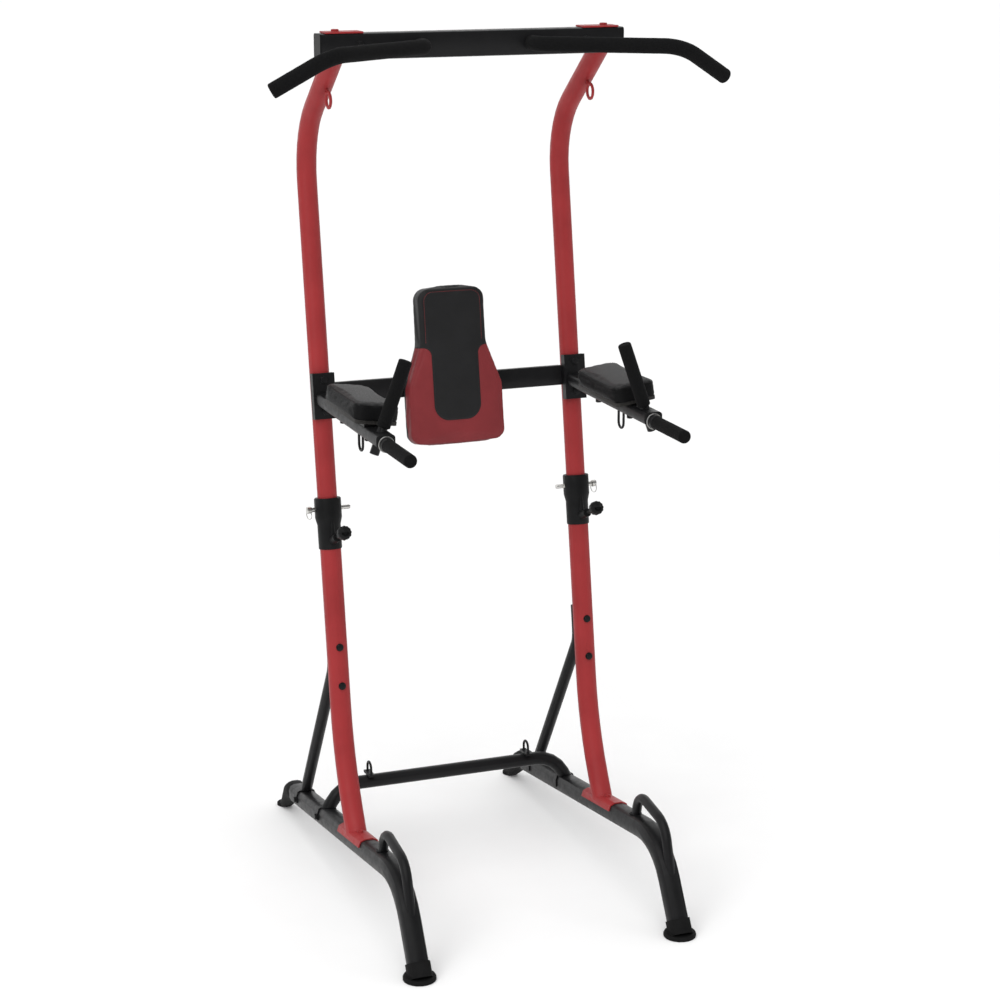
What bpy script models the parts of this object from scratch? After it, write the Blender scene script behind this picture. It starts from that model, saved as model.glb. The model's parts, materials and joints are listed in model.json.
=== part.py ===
"""Power tower with adjustable upper frame: pull-up bar, dip arms, back rest and push-up base.

Metres, +Z up, the user stands on the -Y side. Every figure below is laid out with y = 0 near the
height adjusters; the last step moves the whole model so that its box is centred front to back.
"""

import math

import bmesh
import bpy
from mathutils import Vector

GAP = 0.0003                     # clearance between pieces that touch
SIDE_X = 0.322                   # plane of each side frame

# Uprights: one straight leaning line, with a bend at each end.
LEAN_Y = -0.008                  # y of the upright's axis at height LEAN_Z
LEAN_Z = 0.940
LEAN = 0.160                     # rearward travel per unit of height
LOWER_R = 0.0255
LOWER_BORE = 0.0242
UPPER_R = 0.0238
UPPER_BORE = 0.0218
UPPER_BOTTOM_Z = 0.645
LOWER_TOP_Z = 0.955
LOWER_KNEE = (-0.1052, 0.3324)   # (y, z) where the two straight runs of the lower upright meet
LOWER_END = (-0.2010, 0.1644)
LOWER_BEND = 0.70
UPPER_KNEE_Z = 1.8135
UPPER_END = (-0.143, 2.0288)
UPPER_BEND = 0.19

# Base tubes: one long rising run and one front leg.
TUBE_HALF = 0.0240
TUBE_CORNER = 0.015
TUBE_WALL = 0.0020
BASE_Z0 = 0.127                  # height of the base tube's axis at y = 0
BASE_SLOPE = 0.1375              # drop of the axis per unit of y
BASE_REAR_Y = 0.318
BASE_KNEE_Y = -0.548
BASE_BEND = 0.15
LEG_END = (-0.664, 0.0123)
FRONT_FOOT_Y = -0.664
FRONT_FOOT_R = 0.0385
REAR_TOE_Y = 0.4490
REAR_TOE_R = 0.0205

# Top bar and pull-up handles.
BAR_Y = -0.143
BAR_Z = 2.035
BAR_DEPTH = 0.050
BAR_HEIGHT = 0.058
BAR_HALF = 0.3640
BAR_WALL = 0.0025
PULL_X = 0.1345
PULL_PATH_Z = 2.034
PULL_KNEE_1 = (0.1345, -0.2135)
PULL_KNEE_2 = (0.410, -0.400)
PULL_TIP = (0.535, -0.363, 1.960)
PULL_BAR_R = 0.0125
PULL_FOAM_R = 0.0175

# Arms, pads and grips.
CROSS_Z = 1.207
CROSS_HEIGHT = 0.049
CROSS_DEPTH = 0.028
BRACKET_Z = (1.148, 1.256)
BRACKET_HALF = 0.0272
BRACKET_FRONT = 0.034
BRACKET_REAR = -0.011           # the channel stops short of the upright's widest line
ARM_Z = 1.2005
ARM_WIDTH = 0.044
ARM_HEIGHT = 0.030
ARM_FRONT_Y = -0.465
GRIP_R = 0.0155
GRIP_CORE_R = 0.0110
GRIP_Z = 1.1945
GRIP_END_Y = -0.639
ANGLED_LOW = (0.3370, -0.4270, 1.1640)
ANGLED_TOP = (0.2640, -0.4310, 1.3660)
ANGLED_FOAM_LOW = 0.34           # share of the angled tube's length at which its foam starts
PAD_TILT = math.radians(8.0)
PAD_X = (0.262, 0.372)
PAD_Y = (-0.390, -0.140)
PAD_FOAM = 0.038
PAD_BOARD = 0.009
PAD_INNER_Z = 1.212

# Back rest, in the leaning plane of the uprights.
REST_Z = (1.066, 1.441)
REST_TOP_HALF = 0.083
REST_LOW_HALF = 0.1225
REST_FOAM = 0.038
REST_BOARD = 0.008

# Height adjusters.
PIN_Z = 0.9335
PIN_R = 0.0055
PIN_X = (0.267, 0.375)
SLOT_RUN = 0.15                  # run of the slot that clears the pin as the upper frame rises
KNOB_BALL = (-0.139, 0.906)
KNOB_ROOT = (-0.060, 0.870)
KNOB_R = 0.0165
STEM_R = 0.0050

# Rear braces, rear crossbar and loops.
BRACE_R = 0.0145
BRACE_TOP_Z = 0.630
BRACE_KNEE = (-0.0305, 0.545)
BRACE_END = (0.2480, 0.1040)
UPPER_BOLT_Z = 0.6028            # holds the brace to the upright
LOWER_BOLT_Z = 0.5094            # stops the inner tube's travel, through the upright only
BOLT_R = 0.0040
HEAD_R = 0.0072
CROSSBAR_R = 0.0170
CROSSBAR_Y = 0.045
CROSSBAR_Z = 0.200
BAND_X = 0.211
WIRE_R = 0.0030

UPRIGHT_DIR = Vector((0.0, LEAN, 1.0)).normalized()
REARWARD = Vector((0.0, 1.0, -LEAN)).normalized()
BASE_DIR = Vector((0.0, -1.0, BASE_SLOPE)).normalized()
FRONT_END = FRONT_FOOT_Y - FRONT_FOOT_R
REAR_END = REAR_TOE_Y + REAR_TOE_R
CENTRING = -(FRONT_END + REAR_END) / 2


def clear_scene():
    for obj in list(bpy.data.objects):
        bpy.data.objects.remove(obj, do_unlink=True)


def finish(name, colour, metallic, roughness):
    material = bpy.data.materials.new(name)
    material.use_nodes = True
    shader = material.node_tree.nodes["Principled BSDF"]
    shader.inputs["Base Color"].default_value = (*colour, 1.0)
    shader.inputs["Metallic"].default_value = metallic
    shader.inputs["Roughness"].default_value = roughness
    return material


def upright_point(z):
    """The point of the leaning upright's axis at height z, in the plane x = 0."""
    return Vector((0.0, LEAN_Y + LEAN * (z - LEAN_Z), z))


def base_z(y):
    return BASE_Z0 - BASE_SLOPE * y


def circle(radius, count):
    angles = [2 * math.pi * (k + 0.5) / count for k in range(count)]
    return [(radius * math.cos(angle), radius * math.sin(angle)) for angle in angles]


def rounded_rectangle(width, height, corner, steps=3):
    points = []
    for quarter, (sx, sy) in enumerate(((1, 1), (-1, 1), (-1, -1), (1, -1))):
        centre = (sx * (width / 2 - corner), sy * (height / 2 - corner))
        for k in range(steps + 1):
            angle = math.pi / 2 * (quarter + k / steps)
            points.append((centre[0] + corner * math.cos(angle), centre[1] + corner * math.sin(angle)))
    return points


def filleted(points, radii, steps):
    """A polyline with its inner corners rounded to the given radii."""
    points = [Vector(p) for p in points]
    path = [points[0]]
    for before, corner, after, radius in zip(points, points[1:], points[2:], radii):
        back = (before - corner).normalized()
        ahead = (after - corner).normalized()
        half = back.angle(ahead) / 2
        centre = corner + (back + ahead).normalized() * radius / math.sin(half)
        first = corner + back * radius / math.tan(half) - centre
        last = corner + ahead * radius / math.tan(half) - centre
        path += [centre + first.slerp(last, k / steps) * radius for k in range(steps + 1)]
    path.append(points[-1])
    return path


def tangents(path):
    steps = [(b - a).normalized() for a, b in zip(path, path[1:])]
    inner = [(a + b).normalized() for a, b in zip(steps, steps[1:])]
    return [steps[0], *inner, steps[-1]]


def rings_along(path, section, across=(1, 0, 0)):
    """The section's points carried along the path without twist; its first axis starts near across."""
    side = Vector(across)
    rings = []
    for point, tangent in zip(path, tangents(path)):
        side = (side - tangent * side.dot(tangent)).normalized()
        other = tangent.cross(side)
        rings.append([point + side * a + other * b for a, b in section])
    return rings


def stitched(rings, closed=False):
    """Vertices and side faces of stacked rings."""
    count = len(rings[0])
    vertices = [v for ring in rings for v in ring]
    faces = []
    last = len(rings) if closed else len(rings) - 1
    for i in range(last):
        low, high = i * count, (i + 1) % len(rings) * count
        for k in range(count):
            step = (k + 1) % count
            faces.append((low + k, low + step, high + step, high + k))
    return vertices, faces


def solid(rings):
    vertices, faces = stitched(rings)
    count = len(rings[0])
    return vertices, [*faces, tuple(range(count)), tuple(range(len(vertices) - count, len(vertices)))]


def pipe(rings, bores, blind=False):
    """A hollow run. A blind one keeps its far end closed, one ring thick."""
    count = len(rings[0])
    vertices, faces = stitched(rings)
    inner, inner_faces = stitched(bores[:-1] if blind else bores)
    start = len(vertices)
    faces += [tuple(start + i for i in face) for face in inner_faces]
    for k in range(count):
        step = (k + 1) % count
        faces.append((k, step, start + step, start + k))
    far_outer = start - count
    far_inner = start + len(inner) - count
    if blind:
        faces.append(tuple(range(far_outer, start)))
        faces.append(tuple(range(far_inner, start + len(inner))))
    else:
        for k in range(count):
            step = (k + 1) % count
            faces.append((far_outer + k, far_outer + step, far_inner + step, far_inner + k))
    return vertices + inner, faces


def rod(start, end, radius, count=12):
    return solid(rings_along([Vector(start), Vector(end)], circle(radius, count), _across(start, end)))


def _across(start, end):
    run = Vector(end) - Vector(start)
    return (0, 1, 0) if abs(run.x) > abs(run.y) + abs(run.z) else (1, 0, 0)


def turned(profile, base, axis, count=20):
    """A solid of revolution: profile holds (distance along the axis, radius) from end to end."""
    base = Vector(base)
    axis = Vector(axis).normalized()
    side = Vector((1, 0, 0)) if abs(axis.x) < 0.7 else Vector((0, 1, 0))
    side = (side - axis * side.dot(axis)).normalized()
    other = axis.cross(side)
    return solid([
        [base + axis * along + side * a + other * b for a, b in circle(radius, count)]
        for along, radius in profile
    ])


def hoop(centre, major, minor, normal=(1, 0, 0), count=16, around=6):
    """A closed ring of round wire."""
    centre = Vector(centre)
    normal = Vector(normal)
    first = Vector((0, 1, 0))
    second = normal.cross(first)
    rings = []
    for k in range(count):
        angle = 2 * math.pi * k / count
        out = first * math.cos(angle) + second * math.sin(angle)
        rings.append([centre + out * (major + a) + normal * b for a, b in circle(minor, around)])
    return stitched(rings, closed=True)


def block(centre, size):
    cx, cy, cz = centre
    hx, hy, hz = (s / 2 for s in size)
    outline = [(cx - hx, cy - hy), (cx + hx, cy - hy), (cx + hx, cy + hy), (cx - hx, cy + hy)]
    return solid([[Vector((x, y, z)) for x, y in outline] for z in (cz - hz, cz + hz)])


def mesh_object(name, shape, origin=(0, 0, 0)):
    origin = Vector(origin)
    vertices, faces = shape
    mesh = bpy.data.meshes.new(name)
    mesh.from_pydata([v - origin for v in vertices], [], faces)
    work = bmesh.new()
    work.from_mesh(mesh)
    bmesh.ops.recalc_face_normals(work, faces=work.faces)
    work.to_mesh(mesh)
    work.free()
    mesh.shade_smooth()
    obj = bpy.data.objects.new(name, mesh)
    obj.location = origin
    bpy.context.scene.collection.objects.link(obj)
    return obj


def node(name, shape, material, origin=(0, 0, 0)):
    obj = mesh_object(name, shape, origin)
    obj.data.materials.append(material)
    return obj


def combine(obj, operation, shapes):
    """Joins helper shapes to the object, or cuts them from it."""
    for shape in shapes:
        tool = mesh_object(f"{obj.name}_{operation.lower()}_{len(obj.modifiers)}", shape)
        tool.hide_render = True
        tool.display_type = "WIRE"
        modifier = obj.modifiers.new(operation.title(), "BOOLEAN")
        modifier.operation = operation
        modifier.solver = "EXACT"
        modifier.object = tool


def sharpen(obj, degrees=35):
    """Keeps flat faces flat beside the smooth round ones."""
    modifier = obj.modifiers.new("Sharpen", "EDGE_SPLIT")
    modifier.split_angle = math.radians(degrees)


def join(obj, *shapes):
    combine(obj, "UNION", shapes)


def cut(obj, *shapes):
    combine(obj, "DIFFERENCE", shapes)


# ---------------------------------------------------------------- base


def base_path(s, rear_y=BASE_REAR_Y):
    return filleted(
        [
            (s * SIDE_X, rear_y, base_z(rear_y)),
            (s * SIDE_X, BASE_KNEE_Y, base_z(BASE_KNEE_Y)),
            (s * SIDE_X, *LEG_END),
        ],
        [BASE_BEND],
        6,
    )


def base_section(grow=0.0, widen=0.0):
    size = 2 * (TUBE_HALF + grow)
    return rounded_rectangle(size + 2 * widen, size, TUBE_CORNER + grow, 2)


def base_envelope(s, grow=GAP, widen=0.0):
    """The base tube's outer shape with clearance, for cutting whatever rests on it."""
    path = base_path(s, BASE_REAR_Y + GAP)
    path[-1] = path[-1] + (path[-1] - path[-2]).normalized() * GAP
    return solid(rings_along(path, base_section(grow, widen)))


def base_tube(s, tag, black):
    path = base_path(s)
    outer = rings_along(path, base_section())
    inner = rings_along(path, base_section(-TUBE_WALL))
    obj = node(f"base_tube_{tag}", pipe(outer, inner), black)
    cut(obj, block((s * SIDE_X, LEG_END[0], LEG_END[1] - 0.05), (0.2, 0.2, 0.1)))


def front_foot(s, tag, rubber):
    """A round flange on the floor with a short sleeve round the end of the leg."""
    profile = [(0, 0.0375), (0.001, FRONT_FOOT_R), (0.007, FRONT_FOOT_R), (0.0105, 0.0365)]
    foot = node(f"front_foot_{tag}", turned(profile, (s * SIDE_X, FRONT_FOOT_Y, 0), (0, 0, 1)), rubber)
    above, end = base_path(s)[-2:]
    down = (end - above).normalized()
    floor = block((s * SIDE_X, LEG_END[0], -0.05), (0.2, 0.2, 0.1))
    join(foot, solid(rings_along([end - down * 0.026, end + down * 0.010], base_section(0.0035))))
    cut(foot, floor, leg_pocket(s, end - down * 0.06, end, down))


def leg_pocket(s, high, end, down):
    """The leg's outer shape with clearance, with its lower end cut level."""
    rings = rings_along([high, end + down * 0.02], base_section(GAP))
    level = end.z - GAP
    return solid([rings[0], [p + down * (level - p.z) / down.z for p in rings[1]]])


def rear_foot(s, tag, rubber):
    """A plug in the tube's end whose cap curls down to a round toe on the floor."""
    start = BASE_REAR_Y + GAP
    stations = [
        (start, base_z(start), -7.8, 0.0490, 0.0490),
        (0.342, base_z(0.342) + 0.001, -14.0, 0.0500, 0.0510),
        (0.366, 0.0680, -38.0, 0.0470, 0.0480),
        (0.390, 0.0460, -54.0, 0.0410, 0.0380),
        (0.416, 0.0220, -64.0, 0.0350, 0.0280),
        (0.438, 0.0040, -76.0, 0.0310, 0.0220),
    ]
    rings = []
    for y, z, pitch, width, height in stations:
        angle = math.radians(pitch)
        up = Vector((0, -math.sin(angle), math.cos(angle)))
        centre = Vector((s * SIDE_X, y, z))
        outline = rounded_rectangle(width, height, 0.36 * min(width, height), 3)
        rings.append([centre + Vector((a, 0, 0)) + up * b for a, b in outline])
    foot = node(f"rear_foot_{tag}", solid(rings), rubber)
    neck = [Vector((s * SIDE_X, y, base_z(y))) for y in (BASE_REAR_Y + 0.006, BASE_REAR_Y - 0.022)]
    toe = [(0, REAR_TOE_R - 0.001), (0.001, REAR_TOE_R), (0.007, REAR_TOE_R), (0.0095, REAR_TOE_R - 0.003)]
    join(
        foot,
        solid(rings_along(neck, base_section(-TUBE_WALL - GAP))),
        turned(toe, (s * SIDE_X, REAR_TOE_Y, 0), (0, 0, 1)),
    )


def saddle(s, y_rear, y_front, drop, thickness=0.003):
    """An inverted channel that sits on the base tube between two places along it."""
    outer = TUBE_HALF + GAP + thickness
    inner = TUBE_HALF + GAP
    corner = TUBE_CORNER
    arch = []
    for half, radius in ((outer, corner + thickness), (inner, corner)):
        side = [(half, outer - thickness - drop)]
        for k in range(3):
            angle = math.pi / 4 * k
            side.append((half - radius + radius * math.cos(angle), half - radius + radius * math.sin(angle)))
        mirrored = [(-a, b) for a, b in reversed(side)]
        line = side + mirrored
        arch += line if half == outer else reversed(line)
    ends = [Vector((s * SIDE_X, y, base_z(y))) for y in (y_rear, y_front)]
    return solid([[end + Vector((a, 0, 0)) + _tube_up() * b for a, b in arch] for end in ends])


def _tube_up():
    return Vector((0, BASE_SLOPE, 1.0)).normalized()


def side_bolt(s, y, below_top):
    """A round bolt head on a saddle's outer flank."""
    flank = TUBE_HALF + GAP + 0.003
    centre = Vector((s * (SIDE_X + flank), y, base_z(y))) + _tube_up() * below_top
    return rod(centre - Vector((s * 0.002, 0, 0)), centre + Vector((s * 0.005, 0, 0)), 0.0075, 14)


def lower_upright(s, tag, red):
    path = filleted(
        [
            (s * SIDE_X, *upright_point(LOWER_TOP_Z).yz),
            (s * SIDE_X, *LOWER_KNEE),
            (s * SIDE_X, *LOWER_END),
        ],
        [LOWER_BEND],
        6,
    )
    obj = node(
        f"lower_upright_{tag}",
        pipe(rings_along(path, circle(LOWER_R, 16)), rings_along(path, circle(LOWER_BORE, 16))),
        red,
    )
    cut(obj, base_envelope(s, GAP + 0.001, 0.001))
    join(obj, saddle(s, -0.128, -0.300, 0.016))
    bolt = Vector((s * SIDE_X, -0.236, base_z(-0.236)))
    lift = TUBE_HALF + GAP
    join(obj, rod(bolt + _tube_up() * (lift + 0.001), bolt + _tube_up() * (lift + 0.008), 0.0075, 14))
    cut(obj, pin_envelope(s), bolt_hole(s, UPPER_BOLT_Z), bolt_hole(s, LOWER_BOLT_Z))


def adjust_sleeve(s, tag, black):
    """A stepped clamp collar on the top of the lower upright, with a threaded boss for the knob."""
    foot = upright_point(0.838) + Vector((s * SIDE_X, 0, 0))
    profile = [
        (0.000, 0.0272), (0.002, 0.0282), (0.058, 0.0282), (0.074, 0.0322), (0.076, 0.0325),
        (0.121, 0.0325), (0.1235, 0.0305),
    ]
    obj = node(f"adjust_sleeve_{tag}", turned(profile, foot, UPRIGHT_DIR, 16), black)
    root, ball = knob_axis(s)
    reach = (ball - root).normalized()
    join(obj, rod(root - reach * 0.012, root + reach * 0.026, 0.0105, 14))
    top = upright_point(LOWER_TOP_Z + GAP) + Vector((s * SIDE_X, 0, 0))
    low = upright_point(0.80) + Vector((s * SIDE_X, 0, 0))
    high = upright_point(1.05) + Vector((s * SIDE_X, 0, 0))
    cut(
        obj,
        rod(low, top, LOWER_R + GAP, 16),
        rod(low, high, UPPER_R + GAP, 16),
        pin_envelope(s),
        rod(root - reach * 0.030, root + reach * 0.060, STEM_R + GAP, 12),
    )


def knob_axis(s):
    return Vector((s * SIDE_X, *KNOB_ROOT)), Vector((s * SIDE_X, *KNOB_BALL))


def adjust_knob(s, tag, black):
    root, ball = knob_axis(s)
    reach = (ball - root).normalized()
    length = (ball - root).length
    profile = [
        (0.002, STEM_R), (length - 0.020, STEM_R), (length - 0.018, 0.0085), (length - 0.012, 0.0110),
        (length - 0.010, 0.0150), (length - 0.006, KNOB_R), (length + 0.006, KNOB_R),
        (length + 0.011, 0.0140), (length + 0.013, 0.0080),
    ]
    node(f"adjust_knob_{tag}", turned(profile, root, reach, 20), black, ball)


def pin_point(s, x):
    return Vector((s * x, *upright_point(PIN_Z).yz))


def pin_envelope(s):
    return rod(pin_point(s, 0.25), pin_point(s, 0.40), PIN_R + GAP, 16)


def locking_pin(s, tag, steel):
    profile = [
        (0.000, 0.0040), (0.003, PIN_R), (PIN_X[1] - PIN_X[0] - 0.012, PIN_R),
        (PIN_X[1] - PIN_X[0] - 0.011, 0.0085), (PIN_X[1] - PIN_X[0] - 0.001, 0.0085),
        (PIN_X[1] - PIN_X[0], 0.0075),
    ]
    start = pin_point(s, PIN_X[0])
    node(f"locking_pin_{tag}", turned(profile, start, (s, 0, 0), 16), steel, pin_point(s, PIN_X[1]))


def bolt_hole(s, z):
    centre = upright_point(z) + Vector((s * SIDE_X, 0, 0))
    return rod(centre - REARWARD * 0.06, centre + REARWARD * 0.08, BOLT_R + GAP, 12)


def brace_bolt(s, tag, index, z, behind, steel):
    """A bolt through the upright, with its nut at the given distance behind the upright's axis."""
    front = upright_point(z) + Vector((s * SIDE_X, 0, 0)) - REARWARD * (LOWER_R + 0.0065)
    length = LOWER_R + 0.0065 + behind + 0.006
    profile = [
        (0.000, 0.0050), (0.001, HEAD_R), (0.0055, HEAD_R), (0.0056, BOLT_R),
        (length - 0.0050, BOLT_R), (length - 0.0049, 0.0065), (length, 0.0065),
    ]
    node(f"brace_bolt_{index}_{tag}", turned(profile, front, REARWARD, 12), steel)


def rear_brace(s, tag, black):
    behind = LOWER_R + BRACE_R + GAP
    top = upright_point(BRACE_TOP_Z) + REARWARD * behind
    knee = upright_point(BRACE_KNEE[1]) + REARWARD * behind
    path = filleted(
        [(s * SIDE_X, *top.yz), (s * SIDE_X, *knee.yz), (s * SIDE_X, *BRACE_END)],
        [0.06],
        4,
    )
    rings = rings_along(path, circle(BRACE_R, 12))
    bores = rings_along(path, circle(BRACE_R - 0.002, 12))
    obj = node(f"rear_brace_{tag}", pipe(rings, bores), black)
    cut(obj, base_envelope(s, GAP + 0.001))
    join(obj, saddle(s, 0.255, 0.237, 0.032), side_bolt(s, 0.246, 0.001))
    cut(obj, bolt_hole(s, UPPER_BOLT_Z))


def push_up_handle(s, tag, black):
    path = filleted(
        [
            (s * SIDE_X, -0.402, 0.195),
            (s * SIDE_X, -0.422, 0.266),
            (s * SIDE_X, -0.571, 0.243),
            (s * SIDE_X, -0.612, 0.118),
        ],
        [0.042, 0.066],
        5,
    )
    obj = node(f"push_up_handle_{tag}", solid(rings_along(path, circle(0.012, 12))), black)
    cut(obj, base_envelope(s))


def rear_crossbar(black):
    x = SIDE_X
    path = filleted(
        [
            (-x - 0.004, CROSSBAR_Y, 0.130), (-x + 0.034, CROSSBAR_Y, CROSSBAR_Z),
            (x - 0.034, CROSSBAR_Y, CROSSBAR_Z), (x + 0.004, CROSSBAR_Y, 0.130),
        ],
        [0.085, 0.085],
        4,
    )
    across = (0, 1, 0)
    rings = rings_along(path, circle(CROSSBAR_R, 12), across)
    bores = rings_along(path, circle(CROSSBAR_R - 0.002, 12), across)
    obj = node("rear_crossbar", pipe(rings, bores), black)
    for s in (-1, 1):
        cut(obj, base_envelope(s, GAP + 0.001))
        join(obj, saddle(s, 0.064, 0.046, 0.032), side_bolt(s, 0.055, 0.001))


def band_loop(s, tag, black):
    """A wire loop for a stretch band, on a small block on the rear crossbar."""
    x = s * BAND_X
    top = CROSSBAR_Z + CROSSBAR_R
    path = filleted(
        [
            (x, CROSSBAR_Y - 0.015, top + 0.003), (x, CROSSBAR_Y - 0.015, 0.251),
            (x, CROSSBAR_Y + 0.015, 0.251), (x, CROSSBAR_Y + 0.015, top + 0.003),
        ],
        [0.0149, 0.0149],
        4,
    )
    obj = node(f"band_loop_{tag}", solid(rings_along(path, circle(WIRE_R, 8))), black)
    join(obj, block((x, CROSSBAR_Y, top + GAP + 0.003), (0.016, 0.044, 0.006)))


# ---------------------------------------------------------------- upper frame


def upper_path(s):
    return filleted(
        [
            (s * SIDE_X, *upright_point(UPPER_BOTTOM_Z).yz),
            (s * SIDE_X, *upright_point(UPPER_KNEE_Z).yz),
            (s * SIDE_X, *UPPER_END),
        ],
        [UPPER_BEND],
        7,
    )


def bar_envelope(grow):
    section = rounded_rectangle(BAR_DEPTH + 2 * grow, BAR_HEIGHT + 2 * grow, 0.006 + grow, 2)
    ends = [Vector((x, BAR_Y, BAR_Z)) for x in (-BAR_HALF, BAR_HALF)]
    return rings_along(ends, section, (0, 1, 0))


def upper_upright(s, tag, red):
    path = upper_path(s)
    obj = node(
        f"upper_upright_{tag}",
        pipe(rings_along(path, circle(UPPER_R, 16)), rings_along(path, circle(UPPER_BORE, 16))),
        red,
    )
    cut(obj, solid(bar_envelope(GAP)))
    slot = []
    low = pin_point(s, 0.25) - UPRIGHT_DIR * SLOT_RUN
    across = PIN_R + GAP
    for end, turn in ((pin_point(s, 0.25), 0.0), (low, math.pi)):
        for k in range(7):
            angle = turn + math.pi * k / 6
            slot.append(end + REARWARD * across * math.cos(angle) + UPRIGHT_DIR * across * math.sin(angle))
    far = [v + Vector((s * 0.15, 0, 0)) for v in slot]
    cut(obj, solid([slot, far]))


def top_bar(black):
    node("top_bar", pipe(bar_envelope(0), bar_envelope(-BAR_WALL)), black)


def bar_plug(s, tag, plastic):
    ends = [Vector((s * x, BAR_Y, BAR_Z)) for x in (BAR_HALF - 0.020, BAR_HALF - 0.004)]
    inset = BAR_WALL + GAP
    section = rounded_rectangle(BAR_DEPTH - 2 * inset, BAR_HEIGHT - 2 * inset, 0.0035, 2)
    obj = node(f"bar_plug_{tag}", solid(rings_along(ends, section, (0, 1, 0))), plastic)
    cap = [Vector((s * x, BAR_Y, BAR_Z)) for x in (BAR_HALF + GAP, BAR_HALF + 0.003)]
    flange = rounded_rectangle(BAR_DEPTH, BAR_HEIGHT, 0.006, 2)
    neck = [Vector((s * x, BAR_Y, BAR_Z)) for x in (BAR_HALF - 0.010, BAR_HALF + 0.0015)]
    narrow = rounded_rectangle(BAR_DEPTH - 0.012, BAR_HEIGHT - 0.012, 0.0035, 2)
    join(
        obj,
        solid(rings_along(neck, narrow, (0, 1, 0))),
        solid(rings_along(cap, flange, (0, 1, 0))),
    )


def top_plate(s, tag, red):
    """A flat plate on the top bar over each upright, with its bolt."""
    top = BAR_Z + BAR_HEIGHT / 2
    plate = block((s * 0.3095, BAR_Y, top + GAP + 0.002), (0.089, 0.046, 0.004))
    obj = node(f"top_plate_{tag}", plate, red)
    head = [(0.0, 0.0085), (0.0045, 0.0085), (0.0060, 0.0060)]
    join(obj, turned(head, (s * 0.325, BAR_Y, top + 0.003), (0, 0, 1), 12))


def top_ring(s, tag, red):
    """A welded ring under the bent top of the upright, for a strap."""
    centre = Vector((s * SIDE_X, -0.075, 1.910))
    obj = node(f"top_ring_{tag}", hoop(centre, 0.0175, 0.0038), red)
    away = Vector((0, 0.617, 0.787))
    join(obj, rod(centre + away * 0.015, centre + away * 0.045, 0.0045, 10))
    cut(obj, solid(rings_along(upper_path(s), circle(UPPER_R + GAP, 16))))


def pull_up_path(s, start_y):
    x1, y1 = PULL_KNEE_1
    x2, y2 = PULL_KNEE_2
    tip_x, tip_y, tip_z = PULL_TIP
    return filleted(
        [
            (s * PULL_X, start_y, PULL_PATH_Z), (s * x1, y1, PULL_PATH_Z),
            (s * x2, y2, PULL_PATH_Z), (s * tip_x, tip_y, tip_z),
        ],
        [0.040, 0.080],
        5,
    )


def pull_up_handle(s, tag, black, foam):
    face = BAR_Y - BAR_DEPTH / 2
    path = pull_up_path(s, face - GAP)
    end = path[-1] + (path[-2] - path[-1]).normalized() * 0.006
    core = [*path[:-1], end]
    node(f"pull_up_bar_{tag}", solid(rings_along(core, circle(PULL_BAR_R, 12))), black)
    path = pull_up_path(s, face - 0.006)
    inner = path[-1] + (path[-2] - path[-1]).normalized() * 0.0055
    path = [*path[:-1], inner, path[-1]]
    outer = rings_along(path, circle(PULL_FOAM_R, 14))
    bores = rings_along(path, circle(PULL_BAR_R + 0.0006, 14))
    node(f"pull_up_grip_{tag}", pipe(outer, bores, blind=True), foam)


def leaning_block(x_centre, z, normal_centre, size):
    """A block whose sides follow the uprights' lean: size is (x, normal, along the upright)."""
    centre = upright_point(z) + Vector((x_centre, 0, 0)) + REARWARD * normal_centre
    hx, hn, hv = (v / 2 for v in size)
    corners = [(-hx, -hn), (hx, -hn), (hx, hn), (-hx, hn)]
    return solid([
        [centre + Vector((a, 0, 0)) + REARWARD * b + UPRIGHT_DIR * v for a, b in corners]
        for v in (-hv, hv)
    ])


def bracket_block(s, grow=0.0):
    low, high = BRACKET_Z
    height = (high - low) / UPRIGHT_DIR.z
    depth = BRACKET_FRONT + BRACKET_REAR
    centre = (BRACKET_REAR - BRACKET_FRONT) / 2
    size = (2 * (BRACKET_HALF + grow), depth + 2 * grow, height)
    return leaning_block(s * SIDE_X, (low + high) / 2, centre, size)


def arm_bracket(s, tag, black):
    """A channel that wraps the front and flanks of the upright and carries the arm."""
    low, high = BRACKET_Z
    obj = node(f"arm_bracket_{tag}", bracket_block(s), black)
    ends = [upright_point(z) + Vector((s * SIDE_X, 0, 0)) for z in (low - 0.05, high + 0.05)]
    cut(obj, rod(*ends, UPPER_R + GAP, 16))
    bolts = [
        leaning_rod(s * SIDE_X, z, -BRACKET_FRONT - 0.0045, -BRACKET_FRONT + 0.003, 0.0075)
        for z in (low + 0.018, high - 0.016)
    ]
    join(obj, *bolts)


def leaning_rod(x, z, start, end, radius):
    centre = upright_point(z) + Vector((x, 0, 0))
    return rod(centre + REARWARD * start, centre + REARWARD * end, radius, 12)


def mid_crossbar(black):
    reach = SIDE_X - BRACKET_HALF - GAP
    section = rounded_rectangle(CROSS_DEPTH, CROSS_HEIGHT, 0.005, 2)
    inner = rounded_rectangle(CROSS_DEPTH - 0.004, CROSS_HEIGHT - 0.004, 0.003, 2)
    rings = []
    for outline in (section, inner):
        rings.append([
            [upright_point(CROSS_Z) + Vector((x, 0, 0)) + REARWARD * a + UPRIGHT_DIR * b for a, b in outline]
            for x in (-reach, reach)
        ])
    node("mid_crossbar", pipe(*rings), black)


def board_height(x):
    """Underside of the elbow pad's board at distance x from the middle."""
    return PAD_INNER_Z + math.tan(PAD_TILT) * (x - PAD_X[0])


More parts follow.
